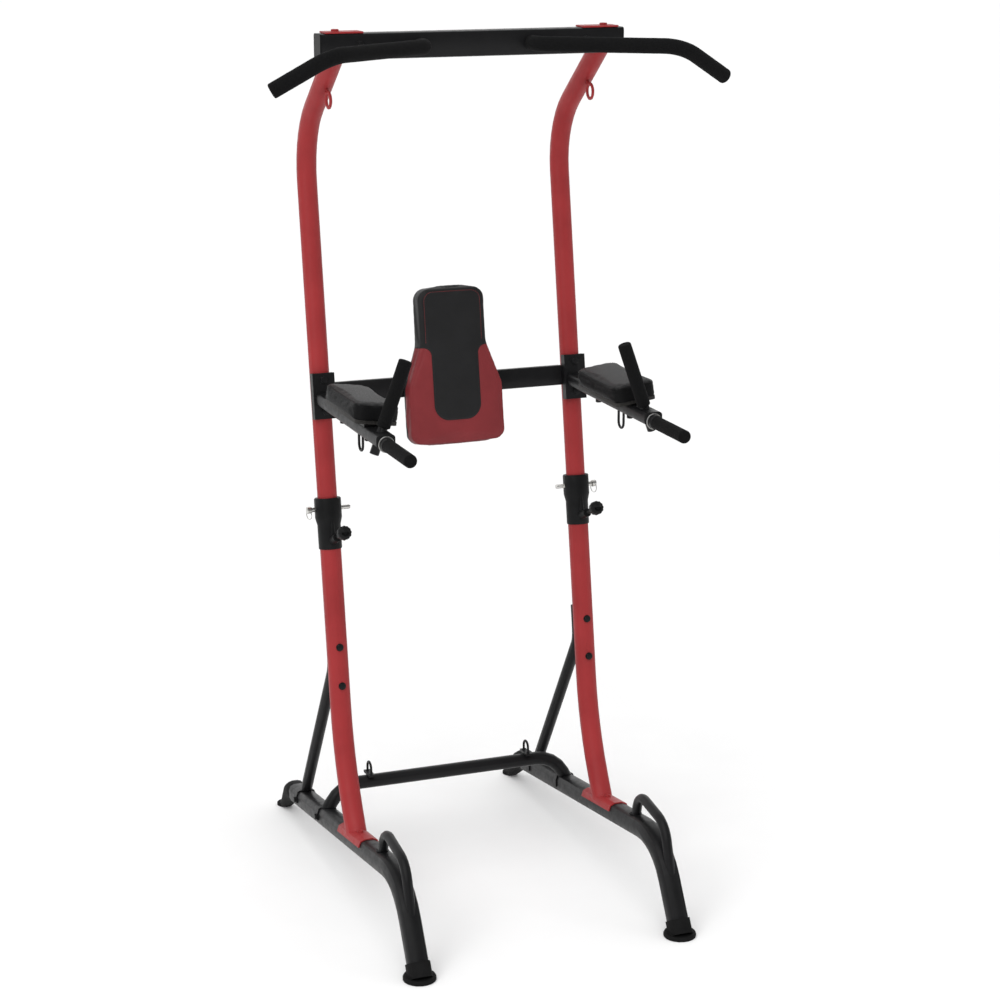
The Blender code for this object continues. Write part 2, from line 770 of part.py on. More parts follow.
def arm(s, tag, black):
    rear = upright_point(ARM_Z).y - BRACKET_FRONT + 0.008
    ends = [Vector((s * SIDE_X, y, ARM_Z)) for y in (rear, ARM_FRONT_Y)]
    outer = rings_along(ends, rounded_rectangle(ARM_WIDTH, ARM_HEIGHT, 0.009, 3))
    inner = rings_along(ends, rounded_rectangle(ARM_WIDTH - 0.004, ARM_HEIGHT - 0.004, 0.007, 3))
    obj = node(f"arm_{tag}", pipe(outer, inner), black)
    cut(obj, bracket_block(s, GAP))
    left, right = SIDE_X - 0.020, SIDE_X + 0.020
    deck = [
        (left, ARM_Z + ARM_HEIGHT / 2 - 0.0015), (right, ARM_Z + ARM_HEIGHT / 2 - 0.0015),
        (right, board_height(right) - GAP), (left, board_height(left) - GAP),
    ]
    join(obj, solid([[Vector((s * x, y, z)) for x, z in deck] for y in (-0.155, -0.372)]))
    low = Vector((s * ANGLED_LOW[0], *ANGLED_LOW[1:]))
    top = Vector((s * ANGLED_TOP[0], *ANGLED_TOP[1:]))
    join(obj, rod(low, top, GRIP_CORE_R, 14))
    gusset = [(-0.4260, 1.2130), (-0.3960, 1.2130), (-0.3960, 1.2160), (-0.4260, 1.2255)]
    join(obj, solid([[Vector((s * x, y, z)) for y, z in gusset] for x in (0.3085, 0.3135)]))
    for y in (-0.147, -0.334):
        head = [(0.0, 0.0060), (0.001, 0.0075), (0.010, 0.0075), (0.0125, 0.010), (0.0140, 0.010)]
        join(obj, turned(head, (s * SIDE_X, y, ARM_Z - ARM_HEIGHT / 2 - 0.0125), (0, 0, 1), 12))


def arm_loop(s, tag, black):
    """A wire loop under the arm for a strap."""
    x = s * SIDE_X
    top = ARM_Z - ARM_HEIGHT / 2 - GAP
    path = filleted(
        [
            (x, -0.2975, top), (x, -0.2975, 1.139), (x, -0.2685, 1.139), (x, -0.2685, top),
        ],
        [0.0144, 0.0144],
        4,
    )
    node(f"arm_loop_{tag}", solid(rings_along(path, circle(WIRE_R, 8))), black)


def angled_grip(s, tag, foam):
    low = Vector((s * ANGLED_LOW[0], *ANGLED_LOW[1:]))
    top = Vector((s * ANGLED_TOP[0], *ANGLED_TOP[1:]))
    run = top - low
    along = run.normalized()
    path = [
        low + run * ANGLED_FOAM_LOW, low + run * (ANGLED_FOAM_LOW + 0.02),
        top + along * 0.0005, top + along * 0.004, top + along * 0.0055,
    ]
    sizes = (GRIP_R - 0.0015, GRIP_R, GRIP_R, GRIP_R - 0.0005, GRIP_R - 0.003)
    rings = [ring for point, size in zip(path, sizes) for ring in _ring_at(point, along, size, 16)]
    bore = [ring for point in path[:3] for ring in _ring_at(point, along, GRIP_CORE_R + GAP, 16)]
    node(f"angled_grip_{tag}", pipe(rings, [*bore, bore[-1]], blind=True), foam)


def _ring_at(point, along, radius, count):
    return rings_along([point, point + along], circle(radius, count))[:1]


def straight_grip(s, tag, foam, black):
    """The grip at the end of the arm: a ferrule with a core, and foam over the core."""
    x = s * SIDE_X
    profile = [
        (0.0, 0.0135), (0.002, 0.0165), (0.020, 0.0165), (0.022, 0.0150), (0.0221, GRIP_CORE_R),
        (0.165, GRIP_CORE_R),
    ]
    start = (x, ARM_FRONT_Y - GAP, GRIP_Z)
    node(f"grip_core_{tag}", turned(profile, start, (0, -1, 0), 16), black)
    sizes = (GRIP_R - 0.001, GRIP_R, GRIP_R, GRIP_R - 0.0005, GRIP_R - 0.004)
    y_values = (-0.4885, -0.4900, GRIP_END_Y + 0.006, GRIP_END_Y + 0.002, GRIP_END_Y)
    along = Vector((0, -1, 0))
    points = [Vector((x, y, GRIP_Z)) for y in y_values]
    rings = [ring for point, size in zip(points, sizes) for ring in _ring_at(point, along, size, 16)]
    bore = [ring for point in points[:3] for ring in _ring_at(point, along, GRIP_CORE_R + GAP, 16)]
    node(f"straight_grip_{tag}", pipe(rings, [*bore, bore[-1]], blind=True), foam)


def elbow_pad(s, tag, vinyl, wood):
    """A cushion on its board, tilted so that the outer edge is higher."""
    across = Vector((s * math.cos(PAD_TILT), 0, math.sin(PAD_TILT)))
    up = Vector((-s * math.sin(PAD_TILT), 0, math.cos(PAD_TILT)))
    inner = Vector((s * PAD_X[0], 0, PAD_INNER_Z))
    width = (PAD_X[1] - PAD_X[0]) / math.cos(PAD_TILT)
    length = PAD_Y[1] - PAD_Y[0]
    middle = inner + across * width / 2 + Vector((0, sum(PAD_Y) / 2, 0))

    def slab(levels, corner):
        rings = []
        for level, shrink in levels:
            outline = rounded_rectangle(width - 2 * shrink, length - 2 * shrink, corner, 3)
            rings.append([middle + up * level + across * a + Vector((0, b, 0)) for a, b in outline])
        return solid(rings)

    node(f"elbow_board_{tag}", slab([(0.0, 0.006), (PAD_BOARD, 0.006)], 0.008), wood)
    base = PAD_BOARD + GAP
    levels = [
        (base, 0.003), (base + 0.003, 0.0), (base + PAD_FOAM - 0.010, 0.0),
        (base + PAD_FOAM - 0.003, 0.004), (base + PAD_FOAM, 0.011),
    ]
    node(f"elbow_pad_{tag}", slab(levels, 0.012), vinyl)


def rest_outline(shrink):
    """Half-width against height of the back rest, as a closed outline in its own plane."""
    low, high = 0.0, (REST_Z[1] - REST_Z[0]) / UPRIGHT_DIR.z
    corners = [
        (REST_TOP_HALF - shrink, high - shrink, 0.030), (REST_TOP_HALF - shrink, 0.244, 0.06),
        (REST_LOW_HALF - shrink, 0.140, 0.06), (REST_LOW_HALF - shrink, low + shrink, 0.028),
    ]
    line = [(0.0, high - shrink, 0), *((x, z, 0) for x, z, _ in corners), (0.0, low + shrink, 0)]
    half = filleted(line, [radius for _, _, radius in corners], 4)
    right = [(p.x, p.y) for p in half]
    left = [(-x, z) for x, z in reversed(right[1:-1])]
    return right + left


def rest_slab(levels):
    foot = upright_point(REST_Z[0])
    return solid([
        [foot + REARWARD * n + Vector((x, 0, 0)) + UPRIGHT_DIR * v for x, v in rest_outline(shrink)]
        for n, shrink in levels
    ])


def back_rest(vinyl, wood):
    front_of_bar = -CROSS_DEPTH / 2 - GAP
    board_front = front_of_bar - REST_BOARD
    pad_back = board_front - GAP
    levels = [
        (pad_back, 0.003), (pad_back - 0.003, 0.0), (pad_back - REST_FOAM + 0.010, 0.0),
        (pad_back - REST_FOAM + 0.003, 0.004), (pad_back - REST_FOAM, 0.011),
    ]
    node("back_rest_pad", rest_slab(levels), vinyl)
    node("back_rest_board", rest_slab([(front_of_bar, 0.007), (board_front, 0.007)]), wood)


def main():
    clear_scene()
    red = finish("red_powder_coat", (0.323, 0.038, 0.041), 0.0, 0.45)
    black = finish("black_powder_coat", (0.012, 0.012, 0.013), 0.0, 0.45)
    foam = finish("black_foam", (0.010, 0.010, 0.011), 0.0, 0.85)
    vinyl = finish("black_vinyl", (0.014, 0.014, 0.015), 0.0, 0.55)
    rubber = finish("black_rubber", (0.011, 0.011, 0.011), 0.0, 0.75)
    plastic = finish("black_plastic", (0.012, 0.012, 0.012), 0.0, 0.40)
    steel = finish("bright_zinc", (0.620, 0.620, 0.610), 1.0, 0.28)
    wood = finish("black_board", (0.020, 0.020, 0.020), 0.0, 0.60)
    for s, tag in ((-1, "L"), (1, "R")):
        base_tube(s, tag, black)
        front_foot(s, tag, rubber)
        rear_foot(s, tag, rubber)
        lower_upright(s, tag, red)
        adjust_sleeve(s, tag, plastic)
        adjust_knob(s, tag, plastic)
        locking_pin(s, tag, steel)
        brace_bolt(s, tag, 1, UPPER_BOLT_Z, LOWER_R + 2 * BRACE_R + GAP, steel)
        brace_bolt(s, tag, 2, LOWER_BOLT_Z, LOWER_R, steel)
        rear_brace(s, tag, black)
        push_up_handle(s, tag, black)
        band_loop(s, tag, black)
        upper_upright(s, tag, red)
        bar_plug(s, tag, plastic)
        top_plate(s, tag, red)
        top_ring(s, tag, red)
        pull_up_handle(s, tag, black, foam)
        arm_bracket(s, tag, black)
        arm(s, tag, black)
        arm_loop(s, tag, black)
        angled_grip(s, tag, foam)
        straight_grip(s, tag, foam, black)
        elbow_pad(s, tag, vinyl, wood)
    rear_crossbar(black)
    top_bar(black)
    mid_crossbar(black)
    back_rest(vinyl, wood)
    for obj in bpy.context.scene.objects:
        if not obj.hide_render:
            sharpen(obj)
        obj.location.y += CENTRING


main()
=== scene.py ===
"""Looks of the power tower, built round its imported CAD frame.

Metres, +Z up, the user stands on the -Y side.
"""

import json
import math

import bmesh
import bpy
import numpy as np
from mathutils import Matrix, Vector, noise
from mathutils.bvhtree import BVHTree

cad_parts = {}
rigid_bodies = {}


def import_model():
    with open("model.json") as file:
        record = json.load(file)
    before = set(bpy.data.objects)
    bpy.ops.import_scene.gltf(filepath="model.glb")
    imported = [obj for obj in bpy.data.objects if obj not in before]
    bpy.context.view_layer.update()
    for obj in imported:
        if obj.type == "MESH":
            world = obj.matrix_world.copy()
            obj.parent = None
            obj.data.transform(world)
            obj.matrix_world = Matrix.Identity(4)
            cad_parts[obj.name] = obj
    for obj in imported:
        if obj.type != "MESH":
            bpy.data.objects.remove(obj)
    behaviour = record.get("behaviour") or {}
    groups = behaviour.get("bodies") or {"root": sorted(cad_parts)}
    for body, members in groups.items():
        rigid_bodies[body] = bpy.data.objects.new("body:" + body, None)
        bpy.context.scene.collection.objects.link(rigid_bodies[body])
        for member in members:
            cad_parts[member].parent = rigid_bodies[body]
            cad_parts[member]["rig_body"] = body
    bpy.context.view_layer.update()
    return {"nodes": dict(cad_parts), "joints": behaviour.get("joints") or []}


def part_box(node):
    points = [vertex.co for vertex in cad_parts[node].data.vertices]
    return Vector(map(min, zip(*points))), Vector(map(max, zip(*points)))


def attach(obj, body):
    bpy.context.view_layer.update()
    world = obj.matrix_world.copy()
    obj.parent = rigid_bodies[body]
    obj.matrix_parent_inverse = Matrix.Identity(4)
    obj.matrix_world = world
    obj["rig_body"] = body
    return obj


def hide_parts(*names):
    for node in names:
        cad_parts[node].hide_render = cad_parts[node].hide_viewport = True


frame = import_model()
NODES = frame["nodes"]
UP = Vector(next(j["axis"] for j in frame["joints"] if j["name"] == "height_slide")).normalized()
REARWARD = Vector((0.0, UP.z, -UP.y))
SIDES = ((-1, "L"), (1, "R"))

RED = (0.292, 0.0270, 0.0290)
DARK_RED = (0.188, 0.0215, 0.0250)
BLACK = (0.0078, 0.0078, 0.0084)
# The elbow pads' one black vinyl: its top is painted lighter as painted light from above, and its sides
# darker as painted shade.
PAD_TOP_PAINTED_LIGHT = (0.0085, 0.0085, 0.0090)
PAD_SIDE_PAINTED_SHADE = (0.0055, 0.0055, 0.0058)
REST_BLACK = (0.0115, 0.0115, 0.0122)
# Darker red round the back rest's rounded edge: painted shade, not a colour of the vinyl.
REST_RIM_PAINTED_SHADE = (0.150, 0.017, 0.020)

SIDE_X = 0.322                   # plane of each side frame
UPRIGHT_Y = 0.1085               # y of the uprights' axis at height UPRIGHT_Z
UPRIGHT_Z = 0.940
BASE_SLOPE = 0.1375              # drop of the base tube's axis per metre towards the back
LOWER_R = 0.0254                 # from the upright's axis to its front face
BRACKET_FRONT = 0.0340           # from the upright's axis to the front of the arm bracket
BRACKET_BOLTS = (1.166, 1.240)   # heights of the arm bracket's bolts
UPRIGHT_BOLTS = (0.6028, 0.5094)  # heights of the brace bolt and the stop bolt
PAD_TILT = math.radians(8.0)
WELT = 0.0095                    # distance of the elbow pad's seam from its edge
REST_TOP_HALF = 0.083
REST_LOW_HALF = 0.1225
REST_PROUD = 0.005               # how far the stuffed cover stands proud of the CAD pad
REST_WAIST = (0.140, 0.244)      # heights on the back rest between which its sides draw in
TONGUE_HALF = 0.0595
TONGUE_BOTTOM = 0.058
TONGUE_ROUND = 0.038
LOBE_TOP = 0.235
LOBE_ROUND = 0.020
RIM = 0.012                      # distance of the rim seam from the pad's edge
# The pull-up handle's axis: its two bends and its tip.
PULL_ROUTE = ((0.1345, -0.0970, 2.034), (0.410, -0.2835, 2.034), (0.535, -0.2465, 1.960))


# ---------------------------------------------------------------- materials


def shader(name, roughness, metallic=0.0, **sockets):
    """A Principled material, its node tree, its surface node and object coordinates in metres."""
    material = bpy.data.materials.new(name)
    material.use_nodes = True
    tree = material.node_tree
    surface = tree.nodes["Principled BSDF"]
    for key, value in {"Roughness": roughness, "Metallic": metallic, **sockets}.items():
        surface.inputs[key].default_value = value
    place = tree.nodes.new("ShaderNodeTexCoord").outputs["Object"]
    return material, tree, surface, place


def stretched(tree, place, scale):
    node = tree.nodes.new("ShaderNodeMapping")
    node.inputs["Scale"].default_value = scale
    tree.links.new(place, node.inputs["Vector"])
    return node.outputs["Vector"]


def clouds(tree, place, scale, detail=3.0, roughness=0.55):
    node = tree.nodes.new("ShaderNodeTexNoise")
    node.inputs["Scale"].default_value = scale
    node.inputs["Detail"].default_value = detail
    node.inputs["Roughness"].default_value = roughness
    tree.links.new(place, node.inputs["Vector"])
    return node.outputs["Fac"]


def cells(tree, place, scale, feature="F1"):
    node = tree.nodes.new("ShaderNodeTexVoronoi")
    node.feature = feature
    node.inputs["Scale"].default_value = scale
    tree.links.new(place, node.inputs["Vector"])
    return node.outputs["Distance"]


def spread(tree, value, before, after):
    """The value taken from one range to another."""
    node = tree.nodes.new("ShaderNodeMapRange")
    for key, number in zip(("From Min", "From Max", "To Min", "To Max"), (*before, *after)):
        node.inputs[key].default_value = number
    tree.links.new(value, node.inputs["Value"])
    return node.outputs["Result"]


def shades(tree, value, stops):
    """A colour ramp through (position, colour) stops."""
    node = tree.nodes.new("ShaderNodeValToRGB")
    ramp = node.color_ramp
    while len(ramp.elements) < len(stops):
        ramp.elements.new(0.5)
    for element, (position, colour) in zip(ramp.elements, stops):
        element.position = position
        element.color = (*colour, 1.0)
    tree.links.new(value, node.inputs["Fac"])
    return node.outputs["Color"]


def blended(tree, share, first, second):
    node = tree.nodes.new("ShaderNodeMix")
    node.data_type = "RGBA"
    tree.links.new(share, node.inputs["Factor"])
    tree.links.new(first, node.inputs["A"])
    tree.links.new(second, node.inputs["B"])
    return node.outputs["Result"]


def relief(tree, surface, layers):
    """Bumps laid one on another: (height, distance in metres, strength)."""
    normal = None
    for height, distance, strength in layers:
        node = tree.nodes.new("ShaderNodeBump")
        node.inputs["Distance"].default_value = distance
        node.inputs["Strength"].default_value = strength
        tree.links.new(height, node.inputs["Height"])
        if normal:
            tree.links.new(normal, node.inputs["Normal"])
        normal = node.outputs["Normal"]
    tree.links.new(normal, surface.inputs["Normal"])


def shade(colour, factor):
    return tuple(min(1.0, channel * factor) for channel in colour)


def powder_coat(name, colour, roughness, gloss=0.15):
    """Baked powder paint: orange peel, faint cloudiness and a few rubbed patches."""
    material, tree, surface, place = shader(name, roughness, **{"Specular IOR Level": gloss})
    cloud = clouds(tree, place, 9.0, 4.0)
    stops = [(0.30, shade(colour, 0.88)), (0.50, colour), (0.72, shade(colour, 1.10))]
    tree.links.new(shades(tree, cloud, stops), surface.inputs["Base Color"])
    rubbed = clouds(tree, place, 55.0, 5.0, 0.65)
    dull = spread(tree, rubbed, (0.35, 0.70), (roughness - 0.05, roughness + 0.10))
    tree.links.new(dull, surface.inputs["Roughness"])
    relief(tree, surface, [
        (clouds(tree, place, 620.0, 2.0), 0.00012, 0.45),
        (cells(tree, place, 1500.0), 0.00005, 0.30),
    ])
    return material


def foam(name):
    """Closed-cell grip foam: matt, with open pores painted darker towards their middles as painted shade in
    the pore hollows.
    """
    material, tree, surface, place = shader(
        name, 0.9, **{"Specular IOR Level": 0.08, "Sheen Weight": 0.01, "Sheen Roughness": 0.6}
    )
    # The pores' colour is painted shade: darkest in the middle of each dented pore and lighter between them.
    pores = cells(tree, place, 760.0)
    stops = [
        (0.05, (0.0016, 0.0016, 0.0016)),
        (0.35, (0.0040, 0.0040, 0.0042)),
        (0.80, (0.0072, 0.0072, 0.0076)),
    ]
    tree.links.new(shades(tree, pores, stops), surface.inputs["Base Color"])
    cloud = clouds(tree, place, 140.0, 4.0)
    tree.links.new(spread(tree, cloud, (0.3, 0.7), (0.82, 0.96)), surface.inputs["Roughness"])
    relief(tree, surface, [(pores, 0.0004, 0.55), (cloud, 0.0005, 0.30)])
    return material


def leather_grain(tree, place, surface):
    """Pebbled vinyl: rounded cells with creases between them, and slow waves in the skin."""
    pebbles = cells(tree, place, 520.0, "SMOOTH_F1")
    creases = cells(tree, place, 300.0, "DISTANCE_TO_EDGE")
    waves = clouds(tree, place, 35.0, 3.0)
    relief(tree, surface, [
        (waves, 0.0012, 0.25),
        (spread(tree, creases, (0.0, 0.10), (0.0, 1.0)), 0.00018, 0.30),
        (pebbles, 0.00030, 0.45),
    ])
    tree.links.new(spread(tree, pebbles, (0.1, 0.7), (0.60, 0.44)), surface.inputs["Roughness"])


def vinyl(name, colour):
    material, tree, surface, place = shader(name, 0.5, **{"Specular IOR Level": 0.22})
    cloud = clouds(tree, place, 14.0, 4.0)
    stops = [(0.30, shade(colour, 0.86)), (0.70, shade(colour, 1.16))]
    tree.links.new(shades(tree, cloud, stops), surface.inputs["Base Color"])
    leather_grain(tree, place, surface)
    return material


def two_tone_vinyl_with_painted_shade(name, inner, outer, outer_rim_painted_shade, shine):
    """Vinyl panels sewn together, with painted shade. The mesh's panel value is the distance past the seam,
    and its depth value is how far back from the face a point lies: the outer panel turns to its darker
    rim colour round the edge, which is painted shade on the rounded edge, and to the inner colour near
    the back. Where the inner colour is lighter than the outer, as on the elbow pads, it is painted light.
    Shine is (outer, inner)."""
    material, tree, surface, place = shader(name, 0.5)
    cloud = clouds(tree, place, 14.0, 4.0)
    seam = tree.nodes.new("ShaderNodeAttribute")
    seam.attribute_name = "panel"
    depth = tree.nodes.new("ShaderNodeAttribute")
    depth.attribute_name = "depth"
    inside = shades(tree, cloud, [(0.3, shade(inner, 0.86)), (0.7, shade(inner, 1.14))])
    outside = shades(tree, cloud, [(0.3, shade(outer, 0.90)), (0.7, shade(outer, 1.08))])
    rim = shades(tree, cloud, [(0.3, shade(outer_rim_painted_shade, 0.90)), (0.7, shade(outer_rim_painted_shade, 1.08))])
    # Round the edge the outer colour darkens to the rim colour as painted shade; nearer the back it turns to
    # the inner colour.
    for limits, colour in (((0.004, 0.012), rim), ((0.0285, 0.0295), inside)):
        past = spread(tree, depth.outputs["Fac"], limits, (0.0, 1.0))
        outside = blended(tree, past, outside, colour)
    share = spread(tree, seam.outputs["Fac"], (-0.0004, 0.0004), (0.0, 1.0))
    tree.links.new(blended(tree, share, outside, inside), surface.inputs["Base Color"])
    tree.links.new(spread(tree, share, (0.0, 1.0), shine), surface.inputs["Specular IOR Level"])
    leather_grain(tree, place, surface)
    return material


def moulded(name, colour, roughness, grain, depth):
    """Spark-eroded plastic or rubber skin."""
    material, tree, surface, place = shader(name, roughness, **{"Specular IOR Level": 0.10})
    cloud = clouds(tree, place, 26.0, 4.0)
    stops = [(0.30, shade(colour, 0.80)), (0.72, shade(colour, 1.35))]
    tree.links.new(shades(tree, cloud, stops), surface.inputs["Base Color"])
    fine = clouds(tree, place, grain, 3.0)
    dull = spread(tree, fine, (0.3, 0.7), (roughness - 0.06, roughness + 0.08))
    tree.links.new(dull, surface.inputs["Roughness"])
    relief(tree, surface, [(fine, depth, 0.5), (cells(tree, place, grain * 1.7), depth * 0.5, 0.35)])
    return material


def plated(name, colour, roughness):
    """Zinc plate with turning marks and faint yellowing."""
    material, tree, surface, place = shader(name, roughness, 1.0)
    marks = clouds(tree, stretched(tree, place, (900.0, 70.0, 70.0)), 1.0, 3.0)
    cloud = clouds(tree, place, 60.0, 4.0)
    yellowed = (colour[0] * 0.76, colour[1] * 0.74, colour[2] * 0.69)
    tree.links.new(shades(tree, cloud, [(0.30, yellowed), (0.70, colour)]), surface.inputs["Base Color"])
    dull = spread(tree, marks, (0.3, 0.7), (roughness - 0.08, roughness + 0.12))
    tree.links.new(dull, surface.inputs["Roughness"])
    relief(tree, surface, [(marks, 0.00006, 0.4)])
    return material


def painted_board(name):
    """Plywood sealed with black paint, its grain just showing."""
    material, tree, surface, place = shader(name, 0.6, **{"Specular IOR Level": 0.3})
    grain = clouds(tree, stretched(tree, place, (240.0, 240.0, 14.0)), 1.0, 5.0)
    stops = [(0.30, (0.012, 0.011, 0.010)), (0.70, (0.028, 0.026, 0.024))]
    tree.links.new(shades(tree, grain, stops), surface.inputs["Base Color"])
    tree.links.new(spread(tree, grain, (0.3, 0.7), (0.50, 0.72)), surface.inputs["Roughness"])
    relief(tree, surface, [(grain, 0.0004, 0.5)])
    return material


# ---------------------------------------------------------------- shapes


def filleted(points, radii, steps):
    """A polyline with its inner corners rounded to the given radii."""
    points = [Vector(p) for p in points]
    path = [points[0]]
    for before, corner, after, radius in zip(points, points[1:], points[2:], radii):
        back = (before - corner).normalized()
        ahead = (after - corner).normalized()
        half = back.angle(ahead) / 2
        centre = corner + (back + ahead).normalized() * radius / math.sin(half)
        first = corner + back * radius / math.tan(half) - centre
        last = corner + ahead * radius / math.tan(half) - centre
        path += [centre + first.slerp(last, k / steps) * radius for k in range(steps + 1)]
    path.append(points[-1])
    return path


def evenly(path, pitch):
    """Points along a polyline, equally far apart."""
    lengths = [0.0]
    for a, b in zip(path, path[1:]):
        lengths.append(lengths[-1] + (b - a).length)
    count = max(2, round(lengths[-1] / pitch))
    points, leg = [], 0
    for k in range(count + 1):
        target = lengths[-1] * k / count
        while leg < len(path) - 2 and lengths[leg + 1] < target:
            leg += 1
        span = lengths[leg + 1] - lengths[leg]
        points.append(path[leg].lerp(path[leg + 1], (target - lengths[leg]) / span))
    return points


def frames_along(path):
    """(point, side, other) carried along the path without twist."""
    steps = [(b - a).normalized() for a, b in zip(path, path[1:])]
    ahead = [steps[0], *[(a + b).normalized() for a, b in zip(steps, steps[1:])], steps[-1]]
    side = Vector((0, 0, 1)) if abs(ahead[0].z) < 0.7 else Vector((1, 0, 0))
    for point, tangent in zip(path, ahead):
        side = (side - tangent * side.dot(tangent)).normalized()
        yield point, side, tangent.cross(side)


def swept(path, sizes, count=32, lobes=None):
    """Closed round bar along a path with a radius at each point; lobes shapes its outline by angle."""
    rings = []
    for (point, side, other), size in zip(frames_along(path), sizes):
        ring = []
        for k in range(count):
            angle = 2 * math.pi * k / count
            reach = size * (lobes(angle, size) if lobes else 1.0)
            ring.append(point + side * reach * math.cos(angle) + other * reach * math.sin(angle))
        rings.append(ring)
    return closed(rings)


def rounded(half_width, half_height, corner, steps=6):
    """A rectangle's outline with round corners, round the origin."""
    points = []
    for quarter, (sx, sy) in enumerate(((1, 1), (-1, 1), (-1, -1), (1, -1))):
        for k in range(steps + 1):
            angle = math.pi / 2 * (quarter + k / steps)
            points.append((
                sx * (half_width - corner) + corner * math.cos(angle),
                sy * (half_height - corner) + corner * math.sin(angle),
            ))
    return points


def closed(rings):
    """(vertices, faces) of a skin over rings of points, closed at both ends."""
    count = len(rings[0])
    vertices = [v for ring in rings for v in ring]
    faces = []
    for low in range(0, len(vertices) - count, count):
        for k in range(count):
            step = (k + 1) % count
            faces.append((low + k, low + step, low + count + step, low + count + k))
    return vertices, [*faces, tuple(range(count)), tuple(range(len(vertices) - count, len(vertices)))]


def torus(centre, normal, major, minor, count, around, ripple=0.0, pitch=0.003):
    """A ring of wire or a weld bead; ripple is the share by which its thickness comes and goes."""
    centre, normal = Vector(centre), Vector(normal).normalized()
    first = normal.orthogonal().normalized()
    second = normal.cross(first)
    waves = max(3, round(2 * math.pi * major / pitch))
    vertices, faces = [], []
    for k in range(count):
        turn = 2 * math.pi * k / count
        out = first * math.cos(turn) + second * math.sin(turn)
        size = minor * (1 + ripple * math.cos(waves * turn))
        for j in range(around):
            angle = 2 * math.pi * j / around
            vertices.append(centre + out * (major + size * math.cos(angle)) + normal * size * math.sin(angle))
            a, b = k * around, (k + 1) % count * around
            faces.append((a + j, a + (j + 1) % around, b + (j + 1) % around, b + j))
    return vertices, faces


def merged(*shapes):
    """Several (vertices, faces) shapes as one."""
    vertices, faces = [], []
    for more, sides in shapes:
        start = len(vertices)
        vertices += more
        faces += [tuple(start + i for i in side) for side in sides]
    return vertices, faces


def outward(name, shape):
    """A mesh from (vertices, faces), its faces pointing out."""
    mesh = bpy.data.meshes.new(name)
    mesh.from_pydata([tuple(v) for v in shape[0]], [], shape[1])
    work = bmesh.new()
    work.from_mesh(mesh)
    bmesh.ops.recalc_face_normals(work, faces=work.faces)
    work.to_mesh(mesh)
    work.free()
    return mesh


def piece(name, shape, material, body, degrees=38):
    """A new piece of the object in place, with smooth faces and crisp edges."""
    return placed(name, outward(name, shape), material, body, degrees)


def placed(name, mesh, material, body, degrees=38):
    mesh.shade_smooth()
    mesh.set_sharp_from_angle(angle=math.radians(degrees))
    mesh.materials.clear()
    mesh.materials.append(material)
    obj = bpy.data.objects.new(name, mesh)
    bpy.context.scene.collection.objects.link(obj)
    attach(obj, body)
    return obj


def welded(node):
    """The CAD node's mesh with its corners joined and its flat faces whole."""
    work = bmesh.new()
    work.from_mesh(NODES[node].data)
    bmesh.ops.remove_doubles(work, verts=work.verts, dist=2e-5)
    bmesh.ops.dissolve_limit(work, angle_limit=math.radians(0.4), verts=work.verts, edges=work.edges)
    mesh = bpy.data.meshes.new(node + "_welded")
    work.to_mesh(mesh)
    work.free()
    return mesh


def eased(node, material, edge=0.0006, degrees=38):
    """Stands for a hard CAD node: the same shape, smooth round its tubes, with eased edges."""
    obj = placed(node + "_finished", welded(node), material, NODES[node]["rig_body"], degrees)
    if edge:
        bevel = obj.modifiers.new("Eased", "BEVEL")
        bevel.width = edge
        bevel.segments = 2
        bevel.limit_method = "ANGLE"
        bevel.angle_limit = math.radians(degrees)
        bevel.harden_normals = True
    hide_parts(node)


def applied(obj):
    """The object's mesh as its modifiers leave it."""
    graph = bpy.context.evaluated_depsgraph_get()
    graph.update()
    return bpy.data.meshes.new_from_object(obj.evaluated_get(graph))


def bolt(name, base, direction, body, material, radius=0.0080, height=0.0050, washer=0.0105):
    """A hexagon bolt head on a washer, chamfered and domed, standing on base."""
    base, direction = Vector(base), Vector(direction).normalized()
    first = direction.orthogonal().normalized()
    second = direction.cross(first)

    def ring(along, size, corners):
        turns = [2 * math.pi * (k + 0.5) / 24 for k in range(24)]
        points = []
        for turn in turns:
            reach = size
            if corners:
                local = (turn + math.pi / 6) % (math.pi / 3) - math.pi / 6
                reach = min(size, size * 0.866 / math.cos(abs(local)) * corners)
            out = first * math.cos(turn) + second * math.sin(turn)
            points.append(base + direction * along + out * reach)
        return points

    disc = closed([ring(-0.0004, washer, 0), ring(0.0010, washer, 0), ring(0.0014, washer - 0.0005, 0)])
    head = closed([
        ring(0.0012, radius, 1.06),
        ring(height - 0.0010, radius, 1.06),
        ring(height - 0.0003, radius * 0.95, 1.0),
        ring(height, radius * 0.84, 0),
        ring(height + 0.0004, radius * 0.45, 0),
    ])
    piece(name, merged(disc, head), material, body, 30)


def weld(name, centre, normal, radius, body, material, bead=0.0022):
    """A rippled bead of weld round the foot of a wire or a tube."""
    shape = torus(centre, normal, radius, bead, 72, 8, 0.22, 0.0035)
    piece(name, shape, material, body, 80)


# ---------------------------------------------------------------- foam and cushions


def sleeve_sizes(path, radius, lip=0.004):
    """Radii of a foam sleeve: soft lips at both ends and a slightly uneven wall."""
    total = sum((b - a).length for a, b in zip(path, path[1:]))
    along, sizes = 0.0, []
    for index, point in enumerate(path):
        if index:
            along += (point - path[index - 1]).length
        edge = min(along, total - along)
        soft = 1.0 if edge >= lip else math.sqrt(max(0.0, 1 - (1 - edge / lip) ** 2))
        sizes.append(radius - 0.0035 * (1 - soft) + 0.00018 * noise.noise(point * 60))
    return sizes


